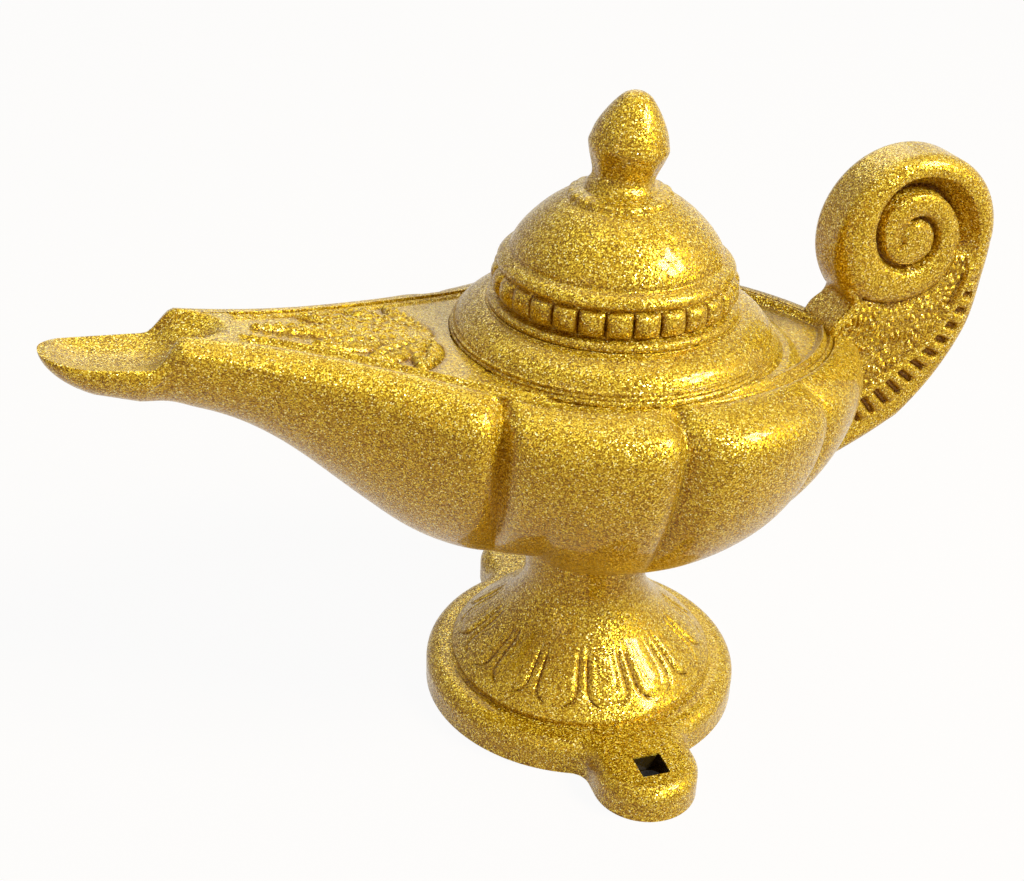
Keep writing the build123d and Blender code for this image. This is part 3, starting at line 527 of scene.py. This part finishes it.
def spout_top(x, y):
    """Height of the spout's top: the sheer, hollowed by a sloping round scoop with a soft edge."""
    low = sheer(SCOOP_X) + SCOOP_SLOPE * (x - SCOOP_X)
    beside = 9.0 * (np.abs(y) >= SCOOP_R)
    scoop = low + SCOOP_R - np.sqrt(np.maximum(SCOOP_R ** 2 - y ** 2, 0.0)) + beside
    top = sheer(x)
    ridge = 0.35 * np.exp(-((scoop - top) / 0.5) ** 2)
    hollowed = 80 - 0.3 * np.log(np.exp(-(scoop - 80) / 0.3) + np.exp(-(top - 80) / 0.3)) + ridge
    return top + (hollowed - top) * smooth_step((-68.6 - x) / 2.5)


def lip_edge(x):
    """Height of the lip's edge: level at the root and curving up toward the tip."""
    return LIP_Z + LIP_UPTURN * np.clip((-82.0 - x) / 18.0, 0, 1) ** 1.4


def lip_dish(x, y):
    """Top of the lip: its edge line, dished by the square of the distance from its middle line."""
    reach = np.hypot(np.maximum(DISH_X - x, 0), y) / DISH_R
    return lip_edge(x) - DISH_DEPTH * np.clip(1 - reach ** 2, 0, 1)


# %% Helpers for the sections
LOW_ROWS, HIGH_ROWS, TURN_ROWS, INNER_ROWS = 34, 14, 9, 26


def place(x, y, z):
    """Three arrays as points, all stretched to one shape."""
    return np.stack(np.broadcast_arrays(x, y, z), -1)


def round_corner(a, b, c, rows):
    """A cubic curve from a to c that bends round the corner b."""
    t = np.linspace(0, 1, rows + 1)[1:, None, None]
    p, q = a + 0.62 * (b - a), c + 0.62 * (b - c)
    return (1 - t) ** 3 * a + 3 * (1 - t) ** 2 * t * p + 3 * (1 - t) * t ** 2 * q + t ** 3 * c


# %% Outer wall of the hull
def wall_lines(x, w):
    """Where each wall line starts and its run to the rim; how far it swells past it; its heights."""
    angle = np.arctan2(w, x)
    along = BASE_END_X * np.clip(x / BASE_END_X, 0, 1) ** 1.5
    ring = np.sqrt(np.maximum(BASE_R ** 2 - along ** 2, 0))
    base_x = np.where(x <= BASE_END_X, x, np.where(x < 0, along, BASE_R * np.cos(angle)))
    base_y = np.where(x <= BASE_END_X, 0.0, np.where(x < 0, ring, BASE_R * np.sin(angle)))
    run_x, run_y = x - base_x, w - base_y
    run = np.hypot(run_x, run_y)
    swell = SWELL_SPOUT + SWELL_BOWL * (w - SPOUT_W) / (RIM_W - SPOUT_W)
    reach = 1 + np.maximum(SWELL_SPOUT, swell) / run
    low, high = keel(base_x), sheer(x)
    belly = low + BELLY_AT * (high - low)
    return (base_x, base_y, run_x, run_y, run), (reach, low, belly, high)


def outer_wall(line, levels, push):
    """Up the outside: a superellipse from the base out to the belly, then an ellipse in to the rim."""
    base_x, base_y, run_x, run_y, run = line
    reach, low, belly, high = levels
    start = np.maximum(low, STEM_TOP_Z)
    first = np.arcsin(np.clip((belly - start) / (belly - low), 0, 1) ** WALL_POWER)
    turn = first * np.linspace(1, 0, LOW_ROWS)[:, None]
    lower_z = belly - np.sin(turn) ** (1 / WALL_POWER) * (belly - low)
    lower_spread = reach * np.cos(turn) ** (1 / WALL_POWER)
    top_sine = np.sqrt(1 - 1 / reach ** 2)
    drop = np.minimum(3.0, 0.7 * (high - belly))
    rise = np.linspace(0, 1, HIGH_ROWS + 1)[1:, None] * (high - drop - belly)
    upper_spread = reach * np.sqrt(1 - (rise / (high - belly) * top_sine) ** 2)
    z = np.vstack([lower_z, belly + rise])
    pressed = push * smooth_step((z - start) / (high - start) / 0.35) / run
    spread = np.vstack([lower_spread, upper_spread]) + pressed
    wall = place(base_x + run_x * spread, base_y + run_y * spread, z)
    foot = place(wall[:1, :, 0], 0.0, z[:1])
    return np.concatenate([foot, wall])


# %% Rim and inside of the hull
def rim_rows(x, w, nx, ny, line, push, wall_top):
    """Over the rounded shoulder to the land, then down into the pocket for the deck."""
    base_x, base_y, run_x, run_y, run = line
    high = sheer(x)
    spread = 1 + push / run
    corner = place(base_x + run_x * spread, base_y + run_y * spread, high + np.minimum(push, 0) * 0.45)
    inner = place(x + 1.5 * nx, np.maximum(w + 1.5 * ny, 0), high)
    shoulder = round_corner(wall_top, corner, inner, TURN_ROWS)
    edge = place(x + LAND * nx, np.maximum(w + LAND * ny, 0), high)
    land = inner + np.array([0.55, 0.85, 1.0])[:, None, None] * (edge - inner)
    has_deck = x >= DECK_FRONT_X
    land[1, :, 2] -= 0.06 * has_deck
    land[2, :, 2] -= 0.4 * has_deck
    scooped = np.minimum(land[..., 2], spout_top(x, land[..., 1]))
    land[..., 2] = np.where(has_deck, land[..., 2], scooped)
    floor_z = np.where(has_deck, high - DECK_T, spout_top(x, edge[:, 1]))
    pocket = place(edge[:, 0], edge[:, 1], floor_z)
    return np.concatenate([shoulder, land, pocket[None]])


def inside_rows(x, line, levels, pocket):
    """Down the hollow for oil, past the handle's screw pad; ahead of the hollow, across the spout."""
    base_x, base_y, run_x, run_y, run = line
    reach, low, belly, _ = levels
    floor_z = pocket[:, 2]
    ledge_spread = 1 - (LAND + LEDGE) / run
    deep = np.arccos(np.clip((WALL_T / (run * reach)) ** WALL_POWER, 0, 1))
    bottom = np.maximum(CAVITY_FLOOR_Z, belly - np.sin(deep) ** (1 / WALL_POWER) * (belly - low))
    share = np.linspace(0, 1, INNER_ROWS)[:, None]
    hollow_z = floor_z + (bottom - floor_z) * share
    down = np.clip((belly - hollow_z) / (belly - low), 0, 1)
    power = 2 * WALL_POWER
    within = np.minimum(reach * (1 - down ** power) ** (1 / power) - WALL_T / run, ledge_spread)
    spread = np.maximum(within, 0)
    hollow_x, hollow_y = base_x + run_x * spread, base_y + run_y * spread
    pad = (hollow_y < PAD_HALF_W) & (np.abs(hollow_z - PAD_Z) < PAD_HALF_H)
    hollow = place(np.where(pad, np.minimum(hollow_x, PAD_X), hollow_x), np.maximum(hollow_y, 0), hollow_z)
    middle = place(hollow[-1:, :, 0], 0.0, bottom)
    flat_y = pocket[:, 1] * np.linspace(1, 0, INNER_ROWS + 1)[:, None]
    flat_z = np.where(x >= DECK_FRONT_X, floor_z, spout_top(x, flat_y))
    flat = place(x, flat_y, flat_z)
    return np.where((x >= CAVITY_FRONT_X)[None, :, None], np.concatenate([hollow, middle]), flat)


# %% Sections of the hull and the lip
def hull_section(x, w, nx, ny, push):
    """Half a section of the hull at every station: the outer wall, the rim and the inside."""
    line, levels = wall_lines(x, w)
    wall = outer_wall(line, levels, push)
    rim = rim_rows(x, w, nx, ny, line, push, wall[-1])
    return np.concatenate([wall, rim, inside_rows(x, line, levels, rim[-1])])


def lip_section(x):
    """Half a tongue: an elliptic underside, a rounded edge and a dished top, round at the tip."""
    u = np.clip((LIP_ROOT_X - x) / LIP_LENGTH, 0, 1)
    half = LIP_HALF_W * (1 - u ** LIP_POWER) ** (1 / LIP_POWER)
    deep = (lip_edge(x) - LIP_UNDER_Z) * (1 - u ** LIP_DEEP_POWER) ** (1 / LIP_DEEP_POWER)
    turn = np.linspace(np.pi / 2, 0.22, LOW_ROWS + HIGH_ROWS)[:, None]
    wall = place(x, half * np.cos(turn), lip_edge(x) - deep * np.sin(turn))
    foot = place(x, 0.0, wall[:1, :, 2])
    corner = place(x, half, lip_edge(x) + 0.15)
    inner = place(x, LIP_FLAT * half, lip_dish(x, LIP_FLAT * half))
    shoulder = round_corner(wall[-1], corner, inner, TURN_ROWS)
    across = LIP_FLAT * half * np.linspace(1, 0, INNER_ROWS + 6)[1:, None]
    top = place(x, across, lip_dish(x, across))
    return np.concatenate([foot, wall, shoulder, top])


# %% Bowl surface
def bowl_grid():
    """Stations from lip tip to stern; the two sections blend over a short way, longer below than on top."""
    (x, w, nx, ny, arc), marks = rim_stations(HULL_FRONT_X, 0.95, 0.24)
    extra = np.add.outer([DECK_FRONT_X, CAVITY_FRONT_X], [-0.01, 0.01]).ravel()
    order = np.argsort(np.concatenate([x, extra]))
    merged = [np.concatenate([c, np.interp(extra, x, c)])[order] for c in (x, w, nx, ny, arc)]
    tip = LIP_ROOT_X - LIP_LENGTH * np.sin(np.linspace(np.pi / 2, 0.535, 34)) ** (2 / LIP_POWER)
    tip = tip[tip < HULL_FRONT_X - 0.1]
    ahead = [tip, np.full_like(tip, SPOUT_W), 0 * tip, 0 * tip - 1, tip - tip[-1] - 1.0]
    x, w, nx, ny, arc = [np.concatenate([a, c]) for a, c in zip(ahead, merged)]
    hull = hull_section(x, w, nx, ny, lobe_push(arc, marks))
    lip = lip_section(x)
    fast = smooth_step(np.clip((-76.9 - x) / 5.4, 0, 1) ** 0.9)
    slow = smooth_step((-75.0 - x) / 9.6)
    share = smooth_step((np.arange(len(hull)) - LOW_ROWS) / HIGH_ROWS)[:, None]
    mix = (slow + (fast - slow) * share)[..., None]
    half = hull * (1 - mix) + lip * mix
    return np.concatenate([half, half[:, ::-1] * np.array([1, -1, 1])], axis=1)


# The bowl gets no painted shade in its recesses.
make_piece("bowl_casting", bowl_grid(), "bowl", "lamp", gold, painted_recess_shade=False)

# %% [markdown]
# ## The deck plate
# The plate between rim and collar carries the relief: a cut line and a raised one inside its
# edge, a palmette of leaves that fans out toward the spout, and a sunk panel in front of the
# handle. It is a ring-shaped grid: each line runs from the hole under the collar out to the
# edge, and a height formula of place (x, y) presses the relief into the top. Behind the
# collar the plate falls away, so a small skirt there rises to the collar and closes the gap.

# %% Relief of the deck
PALMETTE_X = -33.0
LEAVES = ((0.0, 32.0, 3.0), (0.3, 27.0, 3.4), (0.7, 20.0, 3.6), (1.2, 15.0, 3.4))
PANEL_R = 33.0


def leaf(x, y, angle, length, width):
    """A leaf blade from the palmette's root: domed, cut by a middle vein and slanting side veins."""
    px, py = PALMETTE_X - x, y
    a = (px * np.cos(angle) + py * np.sin(angle)) / length
    b = (py * np.cos(angle) - px * np.sin(angle)) / width
    edge = np.sin(np.pi * np.clip(a, 0, 1)) ** 0.7 * (1.1 - 0.5 * np.clip(a, 0, 1)) + 1e-6
    body = np.clip(1 - (b / edge) ** 2, 0, 1) ** 0.6
    veins = 0.16 * np.cos(2 * np.pi * (a * length / 2.2 - np.abs(b))) - 0.35 * np.exp(-(b / 0.12) ** 2)
    return body * (0.85 + veins) * (edge > 0.001)


def deck_relief(x, y, edge):
    """Heights above the plate: seam, border lines, the highest of the leaves, the sunk stern panel."""
    side = np.abs(y)
    seam = -0.9 * np.exp(-(edge / 0.42) ** 2)
    lines = 0.45 * np.exp(-((edge - 2.3) / 0.4) ** 2) - 0.65 * np.exp(-((edge - 1.3) / 0.36) ** 2)
    fan = [leaf(x, side, *shape) for shape in LEAVES]
    leaves = 1.5 * np.max(fan, axis=0) * smooth_step((edge - 2.2) / 1.2)
    behind = smooth_step((np.hypot(x - LID_X, y) - PANEL_R) / 2.5) * (x > 0)
    panel = -0.9 * smooth_step((edge - 2.6) / 1.2) * behind
    return (seam + lines + leaves + panel) * smooth_step((x - DECK_FRONT_X) / 1.5)


# %% Deck surface
DECK_HOLE_R, SEAT_R, SEAT_Z = 27.1, 30.2, 78.75
EDGE_IN, FRONT_GAP = LAND + 0.06, 0.03


def deck_grid():
    """Lines from the hole under the collar to the deck's edge; relief on top, a plain underside."""
    (x, w, nx, ny, _), _ = rim_stations(DECK_FRONT_X - 2.0, 0.55, 0.4)
    edge_x, edge_y = x + EDGE_IN * nx, np.maximum(w + EDGE_IN * ny, 0)
    keep = (np.maximum.accumulate(edge_x) <= edge_x + 1e-9) & (edge_x > DECK_FRONT_X + 0.3)
    front_x = DECK_FRONT_X + FRONT_GAP
    front_y = np.interp(front_x, edge_x, edge_y)
    edge_x, edge_y = np.append(front_x, edge_x[keep]), np.append(front_y, edge_y[keep])
    front = np.linspace(0, edge_y[0], 12)[:-1]
    out_x, out_y = np.concatenate([np.full_like(front, edge_x[0]), edge_x]), np.concatenate([front, edge_y])
    out_x, out_y = np.concatenate([out_x, out_x[::-1]]), np.concatenate([out_y, -out_y[::-1]])
    far = np.hypot(out_x - LID_X, out_y)
    in_x, in_y = LID_X + DECK_HOLE_R * (out_x - LID_X) / far, DECK_HOLE_R * out_y / far
    share = 1 - (1 - np.linspace(0, 1, 126)[:, None]) ** 1.5
    px, py = in_x + (out_x - in_x) * share, in_y + (out_y - in_y) * share
    slope = np.gradient(edge_y, edge_x)
    edge = (np.interp(px, edge_x, edge_y) - np.abs(py)) / np.hypot(1, np.interp(px, edge_x, slope))
    reach = np.hypot(px - LID_X, py)
    seat, shown = np.minimum(sheer(px), SEAT_Z), sheer(px) + deck_relief(px, py, edge)
    skirt = SEAT_Z - 0.8 * np.maximum(reach - SEAT_R - 0.2, 0)
    top = place(px, py, np.maximum(np.where(reach < SEAT_R, seat, shown), skirt))
    bottom = place(px[[-1, 0]], py[[-1, 0]], sheer(px[[-1, 0]]) - DECK_T)
    return np.concatenate([top, bottom, top[:1]])


make_piece("deck_casting", deck_grid(), "deck", "lamp", gold)

# %% [markdown]
# ## The scroll handle
# The handle is a flat bar rolled into a volute. Its outline is a circle for the roll and a
# large arc for the stem. The two faces are height fields over that outline. A channel winds
# into the roll: two short tables give its inner and outer edge by the angle turned, steep
# against the coil and sloping up to the outer tube. The stem has a pebbled panel, a line and
# a row of dentils.

# %% Handle outline
EYE = np.array([59.4, 95.2])
VOLUTE, VOLUTE_R = np.array([61.7, 93.3]), 17.0
STEM_ARC = np.array([(55.5, 50.4), (70.8, 65.6), (78.6, 92.9)])
HANDLE_FOOT = [
    (48.9, 82.0), (48.3, 80.2), (46.2, 78.2), (44.8, 74.0), (42.5, 62.0), (41.0, 54.0), (38.6, 47.6),
    (39.6, 45.4), (44.0, 46.3), (50.5, 49.2), (57.0, 52.6),
]
HANDLE_HALF_T = 7.0
OUTLINE_POINTS = 400


def circle_through(a, b, c):
    """Centre of the circle through three points, from the two chords' middle lines."""
    rows = 2 * np.array([b - a, c - a])
    return np.linalg.solve(rows, np.array([b @ b - a @ a, c @ c - a @ a]))


STEM_CENTRE = circle_through(*STEM_ARC)
STEM_R = np.linalg.norm(STEM_ARC[0] - STEM_CENTRE)


def handle_outline(count):
    """The roll's circle, the foot inside the bowl and the arc of the stem, walked at even steps."""
    roll = np.linspace(0, np.radians(216), 300)
    circle = VOLUTE + VOLUTE_R * np.stack([np.cos(roll), np.sin(roll)], -1)
    bend = np.radians(np.linspace(-47, 0.7, 300))
    stem = STEM_CENTRE + STEM_R * np.stack([np.cos(bend), np.sin(bend)], -1)
    foot = smooth_line([circle[-1], *HANDLE_FOOT, stem[0]], 280)
    line = np.vstack([circle, foot[1:], stem[1:-1]])
    along = np.concatenate([[0], np.cumsum(np.linalg.norm(np.diff(line, axis=0), axis=1))])
    pick = np.linspace(0, along[-1], count, endpoint=False)
    return np.stack([np.interp(pick, along, line[:, i]) for i in (0, 1)], -1)


print("handle: outline points", OUTLINE_POINTS, "stem radius mm", round(STEM_R, 1))

# %% Handle relief
TURN = [-140, -109, -82, -54, -31, -12, 20, 44, 75, 101, 130, 155, 190, 240, 285, 320, 350, 400, 440, 500]
COIL_EDGE = [
    15.5, 14.4, 13.7, 13.4, 12.5, 11.4, 10.0, 9.3, 8.8, 8.4, 7.8, 7.1, 6.3, 6.2, 6.4, 6.2, 5.4, 3.9, 3.1, 2.4,
]
TUBE_EDGE = [
    19, 19, 19, 19, 17.5, 15.8, 14.0, 13.2, 11.9, 11.4, 10.2, 8.9, 7.8, 7.7, 8.0, 7.7, 6.8, 5.2, 4.1, 3.0,
]
CHANNEL_TURN = [-31, -12, 44, 101, 155, 350, 440, 500]
CHANNEL_DEPTH = [3.8, 5.0, 5.2, 4.4, 3.0, 2.8, 2.2, 0.9]
DENTIL_DEGREES, PEBBLE, PEBBLE_SEED = 4.2, 2.1, 4


def pebbles(x, z, size, seed):
    """Bumps of about one size: a sum of sine waves in chosen random directions, folded upwards."""
    rng = np.random.default_rng(seed)
    way, phase = rng.uniform(0, np.pi, 9), rng.uniform(0, 2 * np.pi, 9)
    wave = [np.sin(2 * np.pi / size * (x * np.cos(a) + z * np.sin(a)) + p) for a, p in zip(way, phase)]
    return np.abs(np.sum(wave, axis=0)) / 4.0


def coil_channel(rho, theta):
    """Depth of the channel that winds in from the stem: steep at the coil, sloping to the tube."""
    depth = 0.0 * rho
    for turn in (theta, theta + 360.0):
        coil, tube = np.interp(turn, TURN, COIL_EDGE), np.interp(turn, TURN, TUBE_EDGE)
        across = np.clip((rho - coil) / (tube - coil), 0, 1)
        floor = np.interp(turn, CHANNEL_TURN, CHANNEL_DEPTH)
        wall = smooth_step((rho - coil) / 1.0 + 0.6)
        inner = 1.3 * np.exp(-np.maximum(coil - rho, 0) / 1.2) * (1 - wall)
        here = wall * floor * (1 - across) ** 0.75 + inner
        outer = 0.6 * np.exp(-np.maximum(rho - tube, 0) / 1.2) * wall
        depth = np.maximum(depth, np.maximum(here, outer) * smooth_step((turn + 38) / 26))
    return depth


def stem_relief(inset, tooth):
    """Depth of the stem's rail, by distance inside its arc and angle along it: a line and dentils."""
    line_at = np.interp(tooth, [-55, -43, -32, -24, -10, 0], [11.8, 10.9, 8.8, 6.8, 5.4, 5.0])
    row_at = np.interp(tooth, [-55, -44, -35, -28, -20, -8], [8.2, 6.9, 6.0, 4.7, 3.8, 3.2])
    half = np.interp(tooth, [-55, -44, -30, -20, -8], [2.3, 2.2, 1.7, 1.2, 0.9])
    band = smooth_step((half - np.abs(inset - row_at)) / 0.35 + 0.5)
    row = smooth_step((tooth + 56.5) / 1.5) * smooth_step((-7.0 - tooth) / 5.0)
    block = np.tanh(2.4 * (np.cos(2 * np.pi * (tooth + 53.0) / DENTIL_DEGREES) + 0.3))
    dentil = band * row * (0.25 - 0.65 * block)
    line = 0.8 * np.exp(-((inset - line_at) / 0.45) ** 2) * smooth_step((-14.0 - tooth) / 8.0)
    return dentil + line, smooth_step((inset - line_at) / 0.7 + 0.5)


def handle_relief(x, z):
    """How far the face lies below its flat: the channel, its crease, the pebbled panel, the rail."""
    rho = np.hypot(x - EYE[0], z - EYE[1]) + 1e-6
    theta = (np.degrees(np.arctan2(z - EYE[1], x - EYE[0])) + 140.0) % 360.0 - 140.0
    inset = STEM_R - np.hypot(x - STEM_CENTRE[0], z - STEM_CENTRE[1])
    tooth = np.degrees(np.arctan2(z - STEM_CENTRE[1], x - STEM_CENTRE[0]))
    edge = rho - np.interp(theta, TURN, COIL_EDGE)
    low = smooth_step((-6.0 - theta) / 22.0)
    crease = low * np.where(edge > 0, 1.6 * np.exp(-edge / 0.55), 1.6 * np.exp(edge / 1.2))
    rail, within = stem_relief(inset, tooth)
    panel = np.interp(theta, [-90, -60, -35, -12], [1.0, 1.1, 1.5, 2.4])
    sunk = panel - 0.6 * pebbles(x, z, PEBBLE, PEBBLE_SEED)
    outside = smooth_step(edge / 0.8)
    stem = low * outside * (within * sunk + (1 - within) * rail)
    eye = 0.5 * smooth_step((3.2 - rho) / 1.5)
    face = np.maximum(coil_channel(rho, theta) - eye, stem) + np.minimum(stem, 0)
    return face + crease * (1 - outside * (1 - within))


# %% Handle surface
def handle_grid():
    """Lines from a point in the roll to the outline; each face rounds off near the outline."""
    line = handle_outline(OUTLINE_POINTS)
    pole = np.array([61.0, 90.0])
    share = 1 - (1 - np.linspace(0, 1, 110)[:, None, None]) ** 1.4
    p = pole + (line - pole) * share
    apart = p.reshape(-1, 1, 2).astype(np.float32) - line[None].astype(np.float32)
    gap = np.sqrt((apart ** 2).sum(-1).min(1))
    soft = 2.6 + 2.4 * smooth_step((p[..., 1] - 74.0) / 12.0)
    edge = np.minimum(gap.reshape(p.shape[:2]) / soft, 1.0)
    edge[-1] = 0.0
    full = HANDLE_HALF_T - 0.75 * soft * (1 - np.sqrt(1 - (1 - edge) ** 2))
    thick = full - handle_relief(p[..., 0], p[..., 1]) * smooth_step(edge * 1.4)
    near = place(p[..., 0], -thick, p[..., 1])
    rear = place(p[..., 0], thick, p[..., 1])[::-1]
    return np.concatenate([near, rear])


make_piece("handle_casting", handle_grid(), "handle", "lamp", gold)

# %% [markdown]
# ## The pedestal
# A cone rises into a short stem. Fourteen tongue-shaped petals are outlined on the cone by
# grooves in the form of a U, each with a fainter, smaller U inside it. The grooves are
# pressed into the turned surface by a formula of angle and height.

# %% Pedestal with petals
PETALS = 14
PEDESTAL = [
    (2.75, 7.1), (14.0, 7.1), (26.2, 7.1), (26.65, 7.35), (26.75, 7.9), (26.6, 8.5), (25.9, 9.3),
    (24.3, 10.9), (22.0, 13.2), (18.6, 16.2), (15.4, 19.5), (13.3, 22.8), (12.25, 26.0), (12.2, 29.0),
    (12.5, 32.5), (13.1, 36.0), (13.55, 37.95), (13.2, 38.0), (8.0, 38.0), (2.75, 38.0), (2.75, 22.0),
    (2.75, 7.1),
]


def petal_grooves(angle, radius, height):
    """Depth of the U-shaped lines: two outlines per petal, round at the low end, on the cone alone."""
    turn = np.abs((angle * PETALS / (2 * np.pi)) % 1.0 - 0.5)
    pitch = 2 * np.pi * radius / PETALS
    cut = 0 * turn * height
    for base, half, depth in ((9.9, 0.40, 0.6), (11.6, 0.2, 0.16)):
        rise = np.clip((height - base) / 2.6, 0, 1)
        off = (turn - half * np.sqrt(1 - (1 - rise) ** 2)) * pitch
        cut = cut + depth * np.exp(-(off / 0.34) ** 2) * smooth_step((height - base) / 0.4)
    pad = 0.3 * smooth_step((0.40 - turn) * pitch / 1.2) * smooth_step((height - 10.5) / 1.0)
    return (cut - pad) * smooth_step((19.0 - height) / 3.5)


def pedestal_grid():
    """The pedestal's closed profile carried round its axis, with the petals pressed into the cone."""
    profile = smooth_line(PEDESTAL, 200)
    radius, height, angle = turned(profile, PETALS * 30)
    on_cone = (radius > 11.0) & (height > 9.4) & (height < 20.0)
    radius = radius - on_cone * petal_grooves(angle + 0.12, radius, height)
    return round_axis(radius, height, angle)


make_piece("pedestal_casting", pedestal_grid(), "pedestal", "lamp", gold)

# %% [markdown]
# ## Floor, light and camera
# A pale floor catches a soft shadow. A window of four panes stands to the right and in
# front, a weak warm lamp to the left, a broad one overhead and a window behind. Floor and
# world are white to the eye and to gloss, and a warm beige to all other light. The camera
# was fitted to the circles of the foot, collar and lid in the photograph.

# %% Pale floor
FLOOR_HALF = 3.0
floor_mesh = bpy.data.meshes.new("floor")
sides = [-FLOOR_HALF, FLOOR_HALF]
corners = np.stack(np.meshgrid(sides, sides, [0.0], indexing="ij"), -1).reshape(-1, 3)
floor_mesh.from_pydata(corners, [], [(0, 2, 3, 1)])
floor = bpy.data.objects.new("floor", floor_mesh)
bpy.context.scene.collection.objects.link(floor)


def seen_share(tree):
    """1 for rays from the eye, from gloss and through clear things, and 0 for all other light."""
    path = add_node(tree, "ShaderNodeLightPath")
    seen = add_node(tree, "ShaderNodeMath", {"operation": "MAXIMUM"}, None,
                    {0: path.outputs["Is Camera Ray"], 1: path.outputs["Is Glossy Ray"]})
    through = add_node(tree, "ShaderNodeMath", {"operation": "MAXIMUM"}, None,
                       {0: seen.outputs["Value"], 1: path.outputs["Is Transmission Ray"]})
    return through.outputs["Value"]


def pale_floor():
    """A matt pale floor; the eye and gloss see it nearly white, and it keeps the shadow."""
    material, tree, shader = new_material("pale_matt_floor")
    shader.inputs["Base Color"].default_value = from_hex("#d6b68c")
    shader.inputs["Roughness"].default_value = 0.9
    share = add_node(tree, "ShaderNodeMath", {"operation": "MULTIPLY"}, {1: 0.95}, {0: seen_share(tree)})
    white = add_node(tree, "ShaderNodeEmission", None, {"Color": (1, 1, 1, 1), "Strength": 1.0})
    mix = add_node(tree, "ShaderNodeMixShader", None, None,
                   {"Fac": share.outputs["Value"], 1: shader.outputs["BSDF"], 2: white.outputs["Emission"]})
    output = next(n for n in tree.nodes if n.type == "OUTPUT_MATERIAL")
    tree.links.new(mix.outputs["Shader"], output.inputs["Surface"])
    return material


floor.data.materials.append(pale_floor())
print("floor m:", 2 * FLOOR_HALF)

# %% Lamps
LAMP_AIM = Vector((0.0, 0.0, 0.06))
WINDOW = np.array((0.62, -0.46, 0.76))
PANE_ACROSS, PANE_RISE = np.array((0.55, 0.8, 0.0)), np.array((-0.5, 0.3, 0.75))


def soft_lamp(name, place, size, power, colour):
    """A square area lamp that looks at the middle of the bowl."""
    light = bpy.data.lights.new(name, "AREA")
    light.shape, light.size, light.energy, light.color = "SQUARE", size, power, from_hex(colour)[:3]
    lamp = bpy.data.objects.new(name, light)
    lamp.location = place
    lamp.rotation_euler = (LAMP_AIM - Vector(place)).to_track_quat("-Z", "Y").to_euler()
    bpy.context.scene.collection.objects.link(lamp)


for across, rise in ((-0.1, -0.1), (-0.1, 0.1), (0.1, -0.1), (0.1, 0.1)):
    pane = WINDOW + PANE_ACROSS * across + PANE_RISE * rise
    soft_lamp("window_pane", pane, 0.15, 3.7, "#fbfff2")
soft_lamp("fill_left", (-0.75, -0.55, 0.55), 0.22, 0.6, "#ffe2b8")
soft_lamp("overhead", (0.0, 0.25, 1.1), 0.9, 3.3, "#f8fff0")
soft_lamp("window_behind", (0.33, 0.95, 0.66), 0.55, 1.8, "#f8fff0")

# %% World
world = bpy.data.worlds.new("soft_room")
bpy.context.scene.world = world
world.use_nodes = True
tree = world.node_tree
room = tree.nodes["Background"]
room.inputs["Color"].default_value = from_hex("#f0c488")
room.inputs["Strength"].default_value = 0.1
white = add_node(tree, "ShaderNodeBackground", None, {"Color": (1, 1, 1, 1), "Strength": 1.0})
mix = add_node(tree, "ShaderNodeMixShader", None, None,
               {"Fac": seen_share(tree), 1: room.outputs["Background"], 2: white.outputs["Background"]})
tree.links.new(mix.outputs["Shader"], tree.nodes["World Output"].inputs["Surface"])
print("world strength:", round(room.inputs["Strength"].default_value, 2))

# %% Camera
FOCAL_PX, IMAGE_W, SENSOR_MM = 1500, 1024, 36.0
EYE_AT = (-0.0983202, -0.2346343, 0.1965654)
RIGHT, UP = (0.950188, -0.309712, 0.034933), (0.121855, 0.47231, 0.872969)
AHEAD = (0.286868, 0.825228, -0.486523)
lens = bpy.data.cameras.new("camera")
lens.sensor_fit, lens.sensor_width = "HORIZONTAL", SENSOR_MM
lens.lens = SENSOR_MM * FOCAL_PX / IMAGE_W
lens.clip_start, lens.clip_end = 0.01, 20.0
camera = bpy.data.objects.new("camera", lens)
turn = Matrix((RIGHT, UP, tuple(-a for a in AHEAD))).transposed().to_4x4()
camera.matrix_world = Matrix.Translation(EYE_AT) @ turn
bpy.context.scene.collection.objects.link(camera)
bpy.context.scene.camera = camera
bpy.context.scene.view_settings.view_transform = "Standard"
print("lens mm:", round(lens.lens, 2))
